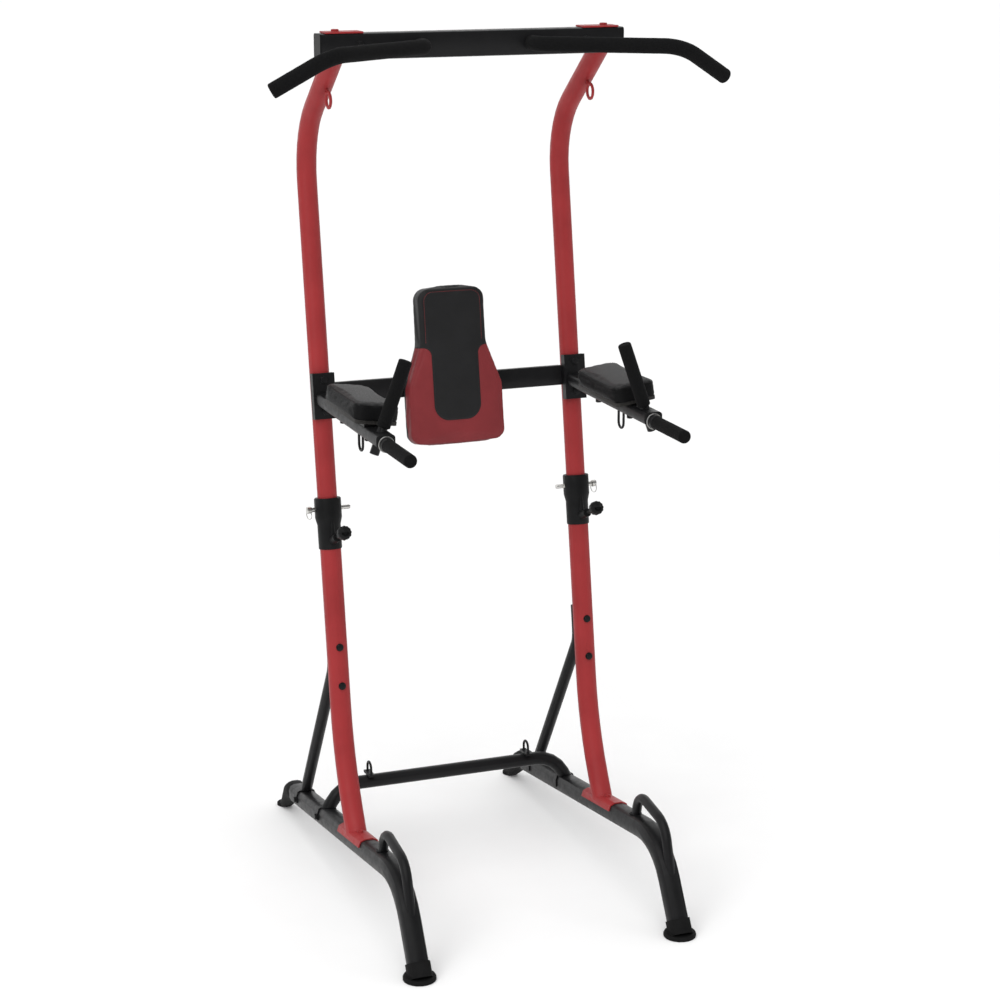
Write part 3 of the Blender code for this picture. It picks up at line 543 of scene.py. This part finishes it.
def grip(node, path, radius, material):
    """A foam sleeve with soft ends, closed at its far end."""
    body = NODES[node]["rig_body"]
    start, end = path[0], path[-1]
    ahead = (path[1] - start).normalized()
    away = (end - path[-2]).normalized()
    run = [start + ahead * step for step in (0.0, 0.0008, 0.002, 0.004)]
    run += [p for p in evenly(path, 0.004) if (p - start).length > 0.006 and (p - end).length > 0.006]
    run += [end - away * step for step in (0.004, 0.002, 0.0008, 0.0)]
    sizes = sleeve_sizes(run, radius)
    run += [end + away * 0.0003, end + away * 0.0005, end + away * 0.0006]
    sizes += [radius - 0.0050, radius - 0.0090, 0.0010]
    obj = piece(node + "_sleeve", swept(run, sizes, 40), material, body, 60)
    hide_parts(node)


def main_axis(node):
    """(lower end, upper end, radius) of a straight round node."""
    spots = np.unique(np.round([tuple(v.co) for v in NODES[node].data.vertices], 6), axis=0)
    centre = spots.mean(axis=0)
    along = np.linalg.svd(spots - centre)[2][0]
    along = along if along[2] > 0 else -along
    reach = (spots - centre) @ along
    radius = np.linalg.norm(spots - centre - np.outer(reach, along), axis=1).max()
    return Vector(centre + along * reach.min()), Vector(centre + along * reach.max()), float(radius)


def slab(levels, outline, spot):
    """Stacked outlines: levels hold (height over the board, how far the outline draws in)."""
    return closed([[spot(a, b, height) for a, b in outline(shrink)] for height, shrink in levels])


def stuffed(name, shape, back, cap=0.0028, voxel=0.004):
    """A sewn cover over foam: the shape is blown up as cloth, its back held flat on the board."""
    start = bpy.data.objects.new(name + "_start", outward(name, shape))
    bpy.context.scene.collection.objects.link(start)
    remesh = start.modifiers.new("Voxels", "REMESH")
    remesh.mode = "VOXEL"
    remesh.voxel_size = voxel
    mesh = applied(start)
    start.modifiers.clear()
    start.data = mesh
    flat = max(v.co.dot(back) for v in mesh.vertices)
    held = start.vertex_groups.new(name="held")
    held.add([v.index for v in mesh.vertices if v.co.dot(back) > flat - 0.003], 1.0, "REPLACE")
    mesh = blown(start, [v.co.copy() for v in mesh.vertices], cap)
    start.data = mesh
    smooth = start.modifiers.new("Eased", "SMOOTH")
    smooth.iterations = 2
    smooth.factor = 0.5
    finer = start.modifiers.new("Finer", "SUBSURF")
    finer.levels = finer.render_levels = 1
    mesh = applied(start)
    bpy.data.objects.remove(start)
    return mesh


def fitted(mesh, middle, axes, halves):
    """Scales the mesh along each axis so that it fills the space given to it."""
    for axis, half in zip(axes, halves):
        reach = [(v.co - middle).dot(axis) for v in mesh.vertices]
        low, high = min(reach), max(reach)
        grow = 2 * half / (high - low)
        for vertex, along in zip(mesh.vertices, reach):
            vertex.co += axis * ((along - (low + high) / 2) * grow - along)


def blown(obj, rest, cap):
    """The cover's mesh under pressure, no point further than cap from its place at rest."""
    cloth = obj.modifiers.new("Cover", "CLOTH")
    settings = cloth.settings
    settings.quality = 6
    settings.mass = 0.3
    settings.tension_stiffness = settings.compression_stiffness = 25
    settings.shear_stiffness = 12
    settings.bending_stiffness = 2.0
    settings.use_pressure = True
    settings.uniform_pressure_force = 4.0
    settings.vertex_group_mass = "held"
    settings.effector_weights.gravity = 0.0
    cloth.point_cache.frame_start = 1
    cloth.point_cache.frame_end = 20
    scene = bpy.context.scene
    for number in range(1, 21):
        scene.frame_set(number)
    mesh = applied(obj)
    scene.frame_set(1)
    obj.modifiers.clear()
    for vertex, first in zip(mesh.vertices, rest):
        move = vertex.co - first
        if move.length > cap:
            vertex.co = first + move.normalized() * cap
    return mesh


def rounded_corner(a, b, radius):
    """Signed distance from a corner whose sides are a = 0 and b = 0, rounded; negative inside."""
    p, q = a + radius, b + radius
    return math.hypot(max(p, 0.0), max(q, 0.0)) + min(max(p, q), 0.0) - radius


def past_seam(x, v):
    """Distance past the two-tone seam of the back rest: positive on the black centre panel."""
    if v > REST_WAIST[0]:
        return rounded_corner(TONGUE_HALF - abs(x), v - LOBE_TOP, LOBE_ROUND)
    return -rounded_corner(abs(x) - TONGUE_HALF, TONGUE_BOTTOM - v, TONGUE_ROUND)


def rest_half(v):
    """Half the back rest's width at height v on it."""
    low, high = REST_WAIST
    share = min(1.0, max(0.0, (v - low) / (high - low)))
    share = share * share * (3 - 2 * share) * 0.35 + share * 0.65
    return REST_LOW_HALF + (REST_TOP_HALF - REST_LOW_HALF) * share


def groove(distance, width):
    """1 on a seam, fading to 0 away from it."""
    return math.exp(-((distance / width) ** 2))


def pressed(mesh, sink):
    """Moves each point inward by what sink says of it."""
    moves = [(v, sink(v.co, v.normal)) for v in mesh.vertices]
    normals = [v.normal.copy() for v in mesh.vertices]
    for (vertex, amount), normal in zip(moves, normals):
        vertex.co -= normal * amount


def stitches(name, path, surface, towards, material, body, pitch=0.0058, run=0.0040, thick=0.00050):
    """Thread laid on the cover along a path, in short slanted stitches that sink at both ends."""
    tree = BVHTree.FromPolygons([v.co for v in surface.vertices], [p.vertices for p in surface.polygons])
    points = evenly(path, pitch)
    shapes = []
    for here, ahead in zip(points, points[1:]):
        along = (ahead - here).normalized()
        spots = []
        for share, lift in ((0.0, -0.0002), (0.25, 0.0003), (0.5, 0.0004), (0.75, 0.0003), (1.0, -0.0002)):
            hit = tree.ray_cast(here + along * run * share - towards * 0.05, towards)[0]
            if hit is None:
                break
            spots.append(hit - towards * lift)
        if len(spots) == 5:
            shapes.append(swept(spots, [thick * r for r in (0.55, 0.95, 1.0, 0.95, 0.55)], 8))
    piece(name, merged(*shapes), material, body, 60)


# ---------------------------------------------------------------- the pieces


def hard_parts(paint_red, paint_black, plastic, rubber, zinc, board):
    """Every metal, plastic and rubber node keeps its CAD shape with eased edges."""
    for _, tag in SIDES:
        for node in ("lower_upright", "upper_upright", "top_plate", "top_ring"):
            eased(f"{node}_{tag}", paint_red)
        for node in (
            "base_tube", "rear_brace", "push_up_handle", "band_loop", "arm", "arm_bracket",
            "arm_loop", "grip_core", "pull_up_bar",
        ):
            eased(f"{node}_{tag}", paint_black)
        for node in ("adjust_sleeve", "bar_plug"):
            eased(f"{node}_{tag}", plastic)
        for node in ("front_foot", "rear_foot"):
            eased(f"{node}_{tag}", rubber, 0.0012)
        eased(f"locking_pin_{tag}", zinc, 0.0003)
        for node in ("brace_bolt_1", "brace_bolt_2"):
            eased(f"{node}_{tag}", paint_black, 0.0003)
        eased(f"elbow_board_{tag}", board)
    for node in ("rear_crossbar", "top_bar", "mid_crossbar"):
        eased(node, paint_black)
    eased("back_rest_board", board)


def knobs(plastic):
    """Fluted clamp knobs on their stems, turned to a profile of (place along the axis, radius)."""
    profile = [
        (-0.0850, 0.0044), (-0.0250, 0.0048), (-0.0200, 0.0050), (-0.0185, 0.0085), (-0.0130, 0.0108),
        (-0.0118, 0.0142), (-0.0090, 0.0160), (-0.0050, 0.0166), (0.0050, 0.0166), (0.0085, 0.0158),
        (0.0110, 0.0140), (0.0125, 0.0105), (0.0129, 0.0070), (0.0124, 0.0060), (0.0124, 0.0010),
    ]

    def flutes(angle, size):
        return 1.0 + (0.035 * math.cos(12 * angle) if size > 0.0135 else 0.0)

    for _, tag in SIDES:
        node = f"adjust_knob_{tag}"
        low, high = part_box(node)
        along = Vector((0.0, -0.079, 0.036)).normalized()
        middle = Vector(((low.x + high.x) / 2, -0.0225, 0.906))
        path = [middle + along * reach for reach, _ in profile]
        shape = swept(path, [r for _, r in profile], 96, flutes)
        obj = piece(f"{node}_fluted", shape, plastic, f"knob_{tag}", 50)
        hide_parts(node)


def upright(x, z):
    """The point of the leaning upright's axis at height z."""
    return Vector((x, UPRIGHT_Y + UP.y / UP.z * (z - UPRIGHT_Z), z))


def fastenings(red, dark):
    """The heads of the bolts that the CAD shows as plain cylinders or leaves out."""
    bar_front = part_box("top_bar")[0].y
    for s, tag in SIDES:
        low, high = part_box(f"top_plate_{tag}")
        bolt(f"top_plate_bolt_{tag}", (s * 0.325, (low.y + high.y) / 2, high.z - 0.0060), (0, 0, 1),
             "upper_frame", red, 0.0094, 0.0060, 0.0118)
        bolt(f"bar_bolt_{tag}", (s * 0.273, bar_front, 2.041), (0, -1, 0),
             "upper_frame", dark, 0.0062, 0.0045, 0.0078)
        for index, z in enumerate(BRACKET_BOLTS):
            base = upright(s * SIDE_X, z) - REARWARD * BRACKET_FRONT
            bolt(f"bracket_bolt_{index + 1}_{tag}", base, -REARWARD, "upper_frame", dark,
                 0.0084, 0.0056, 0.0104)
        for index, z in enumerate(UPRIGHT_BOLTS):
            base = upright(s * SIDE_X, z) - REARWARD * LOWER_R
            bolt(f"upright_bolt_{index + 1}_{tag}", base, -REARWARD, "base_frame", dark,
                 0.0080, 0.0066, 0.0092)


def welds(paint_red, paint_black):
    """Beads where rings, loops and the push-up handles are welded on."""
    away = Vector((0, 0.617, 0.787))
    square = Vector((0, BASE_SLOPE, 1.0)).normalized()
    for s, tag in SIDES:
        x = s * SIDE_X
        centre = Vector((x, 0.0415, 1.910))
        weld(f"ring_weld_{tag}", centre + away * 0.0225, away, 0.0050, "upper_frame", paint_red,
             0.0016)
        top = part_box(f"arm_loop_{tag}")[1].z
        for index, y in enumerate((-0.1810, -0.1520)):
            weld(f"loop_weld_{index + 1}_{tag}", (x, y, top), (0, 0, 1), 0.0034,
                 "upper_frame", paint_black, 0.0014)
        for index, y in enumerate((0.1465, 0.1765)):
            weld(f"band_weld_{index + 1}_{tag}", (s * 0.211, y, 0.2232), (0, 0, 1), 0.0034,
                 "base_frame", paint_black, 0.0014)
        foot = Vector((x, -0.2886, 0.1827)) + square * 0.0246
        weld(f"handle_weld_{tag}", foot, square, 0.0128, "base_frame", paint_black)


def arm_ends(plastic, collar):
    """A plug that closes the front of each arm, with its outline drawn in at each step forward, and a
    plated collar round the root of its grip."""
    steps = ((-0.0060, 0.0030), (-0.0002, 0.0030), (-0.0001, 0.0), (0.0020, 0.0), (0.0032, 0.0014))
    for _, tag in SIDES:
        low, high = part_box(f"grip_core_{tag}")
        x, z = (low.x + high.x) / 2, (low.z + high.z) / 2
        rings = []
        for forward, shrink in steps:
            outline = rounded(0.0220 - shrink, 0.0150 - shrink, 0.0085 - shrink)
            rings.append([Vector((x + a, high.y - forward, z + 0.006 + b)) for a, b in outline])
        piece(f"arm_plug_{tag}", closed(rings), plastic, "upper_frame", 50)
        ring = torus((x, high.y - 0.0050, z), (0, 1, 0), 0.0172, 0.0017, 64, 12)
        piece(f"grip_collar_{tag}", ring, collar, "upper_frame", 80)


def sleeve_ribs(plastic):
    """A tapered rib up the front of each adjuster sleeve: (height, half its width, how far it stands
    out from the upright's axis) at each step."""
    root = 0.026
    steps = (
        (0.868, 0.0062, 0.0360), (0.885, 0.0055, 0.0345), (0.905, 0.0042, 0.0325), (0.918, 0.0026, 0.0300),
    )
    for s, tag in SIDES:
        rings = []
        for z, wide, proud in steps:
            centre = upright(s * SIDE_X, z)
            rings.append([
                centre + Vector((wide * side, 0, 0)) - REARWARD * (root + (proud - root) * out)
                for side, out in ((-1.0, 0.0), (-0.8, 0.75), (-0.4, 1.0), (0.4, 1.0), (0.8, 0.75), (1.0, 0.0))
            ])
        piece(f"sleeve_rib_{tag}", closed(rings), plastic, "base_frame", 60)


def pin_rings(zinc):
    """A split ring through the head of each locking pin."""
    for s, tag in SIDES:
        low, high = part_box(f"locking_pin_{tag}")
        middle = (low + high) / 2
        outer = high.x if s > 0 else low.x
        centre = Vector((outer - s * 0.0055, middle.y, middle.z - 0.0105))
        shape = torus(centre, (1, 0.25, 0), 0.0120, 0.0010, 56, 10)
        piece(f"pin_ring_{tag}", shape, zinc, f"pin_{tag}", 80)


def grips(material):
    """Foam on the angled grips, which starts a little lower than in the CAD, on the straight grips and
    on the pull-up handles."""
    for s, tag in SIDES:
        low, high, radius = main_axis(f"angled_grip_{tag}")
        low += (low - high).normalized() * 0.010
        grip(f"angled_grip_{tag}", [low, high], radius, material)
        low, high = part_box(f"straight_grip_{tag}")
        x, z = (low.x + high.x) / 2, (low.z + high.z) / 2
        ends = [Vector((x, high.y, z)), Vector((x, low.y, z))]
        grip(f"straight_grip_{tag}", ends, (high.z - low.z) / 2, material)
        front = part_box("top_bar")[0].y
        first, second, tip = (Vector((s * p[0], p[1], p[2])) for p in PULL_ROUTE)
        path = filleted([Vector((first.x, front - 0.006, first.z)), first, second, tip], [0.040, 0.080], 14)
        grip(f"pull_up_grip_{tag}", evenly(path, 0.004), 0.0175, material)


def elbow_pads(cover, thread):
    """Arm cushions: a crowned top panel, a boxed side and a welt round the top edge."""
    for s, tag in SIDES:
        node = f"elbow_pad_{tag}"
        low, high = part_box(node)
        up = Vector((-s * math.sin(PAD_TILT), 0.0, math.cos(PAD_TILT)))
        across = Vector((math.cos(PAD_TILT), 0.0, s * math.sin(PAD_TILT)))
        middle = (low + high) / 2
        points = [v.co - middle for v in NODES[node].data.vertices]
        half = max(p.dot(across) for p in points)
        length = max(p.y for p in points)
        top = max(p.dot(up) for p in points)

        def outline(shrink):
            return rounded(half - shrink, length - shrink, 0.024 - shrink, 8)

        def spot_at(a, b, height):
            return middle + across * a + Vector((0, b, 0)) + up * (height - top)

        levels = [
            (0.0, 0.0015), (0.0015, 0.0), (2 * top - 0.0060, 0.0), (2 * top - 0.0018, 0.0014),
            (2 * top, 0.0050),
        ]
        mesh = stuffed(f"{node}_cushion", slab(levels, outline, spot_at), -up)
        fitted(mesh, middle, (across, Vector((0, 1, 0)), up), (half, length, top))

        def past_welt(co, normal):
            spot = co - middle
            edge = min(half - abs(spot.dot(across)), length - abs(spot.y))
            return edge - WELT if normal.dot(up) > 0.4 else -WELT

        def sink(co, normal):
            spot = co - middle
            if normal.dot(up) > 0.4:
                crown = 0.0016 * (1 - (spot.dot(across) / half) ** 2) * (1 - (spot.y / length) ** 4)
                return 0.0009 * groove(past_welt(co, normal), 0.0022) - crown
            return 0.0007 * groove(spot.dot(up) - (top - 0.0125), 0.0020)

        # The panel value also carries painted light: the cover's material paints the top panel lighter than
        # the sides.
        panel = mesh.attributes.new("panel", "FLOAT", "POINT")
        mesh.attributes.new("depth", "FLOAT", "POINT")
        for vertex in mesh.vertices:
            panel.data[vertex.index].value = past_welt(vertex.co, vertex.normal)
        pressed(mesh, sink)
        obj = placed(f"{node}_cushion", mesh, cover, "upper_frame", 70)
        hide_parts(node)
        inner, long = half - WELT, length - WELT
        corners = [(0, -long), (inner, -long), (inner, long), (-inner, long), (-inner, -long), (0, -long)]
        line = filleted([middle + across * a + Vector((0, b, 0)) + up * top for a, b in corners],
                        [0.016] * 4, 8)
        stitches(f"{node}_stitches", line, mesh, -up, thread, "upper_frame")


def back_rest(cover, red_thread, black_thread):
    """The back rest: a black centre panel let into red lobes, sewn with a topstitch each side."""
    node = "back_rest_pad"
    points = [v.co for v in NODES[node].data.vertices]
    foot = min(p.dot(UP) for p in points)
    head = max(p.dot(UP) for p in points)
    face = min(p.dot(REARWARD) for p in points) - REST_PROUD
    back = max(p.dot(REARWARD) for p in points)

    def outline(shrink):
        high = head - foot - shrink
        top_half = REST_TOP_HALF + 0.0035
        corners = [(top_half, high, 0.030), (top_half, REST_WAIST[1], 0.060),
                   (REST_LOW_HALF, REST_WAIST[0], 0.060), (REST_LOW_HALF, shrink, 0.028)]
        line = [(0, high, 0), *((x - shrink, v, 0) for x, v, _ in corners), (0, shrink, 0)]
        right = [(p.x, p.y) for p in filleted(line, [radius for _, _, radius in corners], 8)]
        return right + [(-x, v) for x, v in reversed(right[1:-1])]

    def spot_at(x, v, height):
        return Vector((x, 0, 0)) + UP * (v + foot) + REARWARD * (back - height)

    thick = back - face
    levels = [
        (0.0, 0.0015), (0.0015, 0.0), (thick - 0.0050, 0.0), (thick - 0.0015, 0.0010), (thick, 0.0040),
    ]
    mesh = stuffed("back_rest_cushion", slab(levels, outline, spot_at), REARWARD)
    middle = spot_at(0.0, (head - foot) / 2, thick / 2)
    axes = (Vector((1, 0, 0)), UP, REARWARD)
    fitted(mesh, middle, axes, (REST_LOW_HALF + 0.001, (head - foot) / 2, thick / 2))

    def spot(co):
        return co.x, co.dot(UP) - foot, co.dot(REARWARD) - face

    def sink(co, normal):
        x, v, _ = spot(co)
        if normal.dot(REARWARD) > -0.25:
            return 0.0
        edge = min(rest_half(v) - abs(x), v, head - foot - v)
        crown = 0.0022 * max(0.0, 1 - (x / rest_half(v)) ** 2)
        return 0.0014 * groove(past_seam(x, v), 0.0026) + 0.0008 * groove(edge - RIM, 0.0024) - crown

    pressed(mesh, sink)
    panel = mesh.attributes.new("panel", "FLOAT", "POINT")
    # The depth value drives the cover's painted shade round the rounded edge and its turn to the inner colour
    # near the back.
    depths = mesh.attributes.new("depth", "FLOAT", "POINT")
    for index, vertex in enumerate(mesh.vertices):
        x, v, depth = spot(vertex.co)
        panel.data[index].value = past_seam(x, v)
        depths.data[index].value = depth
    obj = placed("back_rest_cushion", mesh, cover, "upper_frame", 70)
    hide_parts(node)

    def on_face(x, v):
        return Vector((x, 0, 0)) + UP * (v + foot) + REARWARD * face

    def seam(offset):
        half, low, high = TONGUE_HALF - offset, TONGUE_BOTTOM + offset, LOBE_TOP + offset
        wide = rest_half(LOBE_TOP) - 0.006
        corners = [(-wide, high), (-half, high), (-half, low), (half, low), (half, high), (wide, high)]
        rounds = [LOBE_ROUND + offset, TONGUE_ROUND - offset, TONGUE_ROUND - offset, LOBE_ROUND + offset]
        return filleted([on_face(*corner) for corner in corners], rounds, 10)

    stitches("centre_panel_stitches", seam(0.0030), mesh, REARWARD, black_thread, "upper_frame")
    stitches("side_panel_stitches", seam(-0.0030), mesh, REARWARD, red_thread, "upper_frame")
    half = REST_TOP_HALF - RIM
    low, high = LOBE_TOP + 0.012, head - foot - RIM
    corners = [(-half, low), (-half, high), (half, high), (half, low)]
    rim = filleted([on_face(*corner) for corner in corners], [0.022, 0.022], 8)
    stitches("rim_stitches", rim, mesh, REARWARD, red_thread, "upper_frame")


# ---------------------------------------------------------------- stage


def floor():
    """A pale plane that reaches past the horizon of every view."""
    mesh = bpy.data.meshes.new("floor")
    corners = [(120.0 * x, 120.0 * y, 0.0) for x, y in ((-1, -1), (1, -1), (1, 1), (-1, 1))]
    mesh.from_pydata(corners, [], [(0, 1, 2, 3)])
    material, tree, surface, place = shader("pale_floor", 0.9, **{"Specular IOR Level": 0.0})
    tint = shades(tree, clouds(tree, place, 3.0), [(0.3, (0.90, 0.90, 0.90)), (0.7, (0.92, 0.92, 0.92))])
    tree.links.new(tint, surface.inputs["Base Color"])
    mesh.materials.append(material)
    obj = bpy.data.objects.new("floor", mesh)
    bpy.context.scene.collection.objects.link(obj)


def lamp(name, place, target, size, power):
    light = bpy.data.lights.new(name, "AREA")
    light.shape = "RECTANGLE"
    light.size, light.size_y = size
    light.energy = power
    obj = bpy.data.objects.new(name, light)
    obj.location = place
    obj.rotation_euler = (Vector(target) - Vector(place)).to_track_quat("-Z", "Y").to_euler()
    bpy.context.scene.collection.objects.link(obj)


def sunlight():
    """A broad sun from the front left, so soft that its shadows have no edge."""
    light = bpy.data.lights.new("soft_sun", "SUN")
    light.energy = 1.45
    light.angle = math.radians(65)
    obj = bpy.data.objects.new("soft_sun", light)
    obj.rotation_euler = Vector((-0.45, -0.50, 1.0)).to_track_quat("Z", "Y").to_euler()
    bpy.context.scene.collection.objects.link(obj)


def daylight():
    """Even white light from all round, with a reflected glow that comes mostly from behind."""
    world = bpy.data.worlds.new("studio")
    world.use_nodes = True
    tree = world.node_tree
    ground = tree.nodes["Background"]
    ground.inputs["Color"].default_value = (1, 1, 1, 1)
    path = tree.nodes.new("ShaderNodeLightPath")
    way = tree.nodes.new("ShaderNodeSeparateXYZ")
    tree.links.new(tree.nodes.new("ShaderNodeTexCoord").outputs["Generated"], way.inputs["Vector"])
    glow = spread(tree, way.outputs["Y"], (0.0, 0.5), (0.15, 1.25))
    mix = tree.nodes.new("ShaderNodeMix")
    tree.links.new(path.outputs["Is Glossy Ray"], mix.inputs["Factor"])
    mix.inputs["A"].default_value = 0.74
    tree.links.new(glow, mix.inputs["B"])
    shown = tree.nodes.new("ShaderNodeMix")
    tree.links.new(path.outputs["Is Camera Ray"], shown.inputs["Factor"])
    tree.links.new(mix.outputs["Result"], shown.inputs["A"])
    shown.inputs["B"].default_value = 1.0
    tree.links.new(shown.outputs["Result"], ground.inputs["Strength"])
    bpy.context.scene.world = world


def stage():
    """Floor, soft studio light and the camera."""
    floor()
    daylight()
    sunlight()
    lamp("key_softbox", (-3.2, -2.6, 2.6), (0, 0, 1.1), (1.6, 2.6), 22)
    lamp("fill_softbox", (3.4, -2.2, 2.2), (0, 0, 1.1), (1.2, 2.4), 8)
    camera = bpy.data.cameras.new("camera")
    camera.lens = 86.2
    camera.sensor_width = 36.0
    obj = bpy.data.objects.new("camera", camera)
    obj.location = (-1.9001, -5.2314, 2.4224)
    obj.rotation_euler = (math.radians(90 - 14.81), 0.0, math.radians(-20.72))
    bpy.context.scene.collection.objects.link(obj)
    bpy.context.scene.camera = obj
    bpy.context.scene.view_settings.view_transform = "Standard"


def main():
    paint_red = powder_coat("red_powder_coat", RED, 0.42)
    paint_black = powder_coat("black_powder_coat", BLACK, 0.38, 0.17)
    plastic = moulded("black_plastic", (0.0078, 0.0080, 0.0083), 0.44, 900.0, 0.00012)
    rubber = moulded("black_rubber", (0.0062, 0.0062, 0.0063), 0.70, 520.0, 0.00025)
    zinc = plated("bright_zinc", (0.68, 0.68, 0.67), 0.28)
    collar = plated("dark_zinc", (0.40, 0.40, 0.40), 0.34)
    board = painted_board("black_board")
    soft = foam("grip_foam")
    # The elbow pads' vinyl: its top panel is painted lighter than its sides, as painted light and painted
    # shade.
    black_cover_painted_lit_top = two_tone_vinyl_with_painted_shade("black_vinyl", PAD_TOP_PAINTED_LIGHT, PAD_SIDE_PAINTED_SHADE, PAD_SIDE_PAINTED_SHADE, (0.07, 0.18))
    # The back rest's vinyl: real red and black panels, with painted shade on the red's rounded edge.
    two_tone = two_tone_vinyl_with_painted_shade("two_tone_vinyl_with_painted_shade", REST_BLACK, DARK_RED, REST_RIM_PAINTED_SHADE, (0.22, 0.22))
    black_thread = vinyl("black_thread", (0.020, 0.020, 0.021))
    red_thread = vinyl("red_thread", (0.220, 0.030, 0.034))
    hard_parts(paint_red, paint_black, plastic, rubber, zinc, board)
    knobs(plastic)
    fastenings(paint_red, paint_black)
    welds(paint_red, paint_black)
    arm_ends(plastic, collar)
    sleeve_ribs(plastic)
    pin_rings(zinc)
    grips(soft)
    elbow_pads(black_cover_painted_lit_top, black_thread)
    back_rest(two_tone, red_thread, black_thread)
    stage()


main()
bpy.context.view_layer.update()
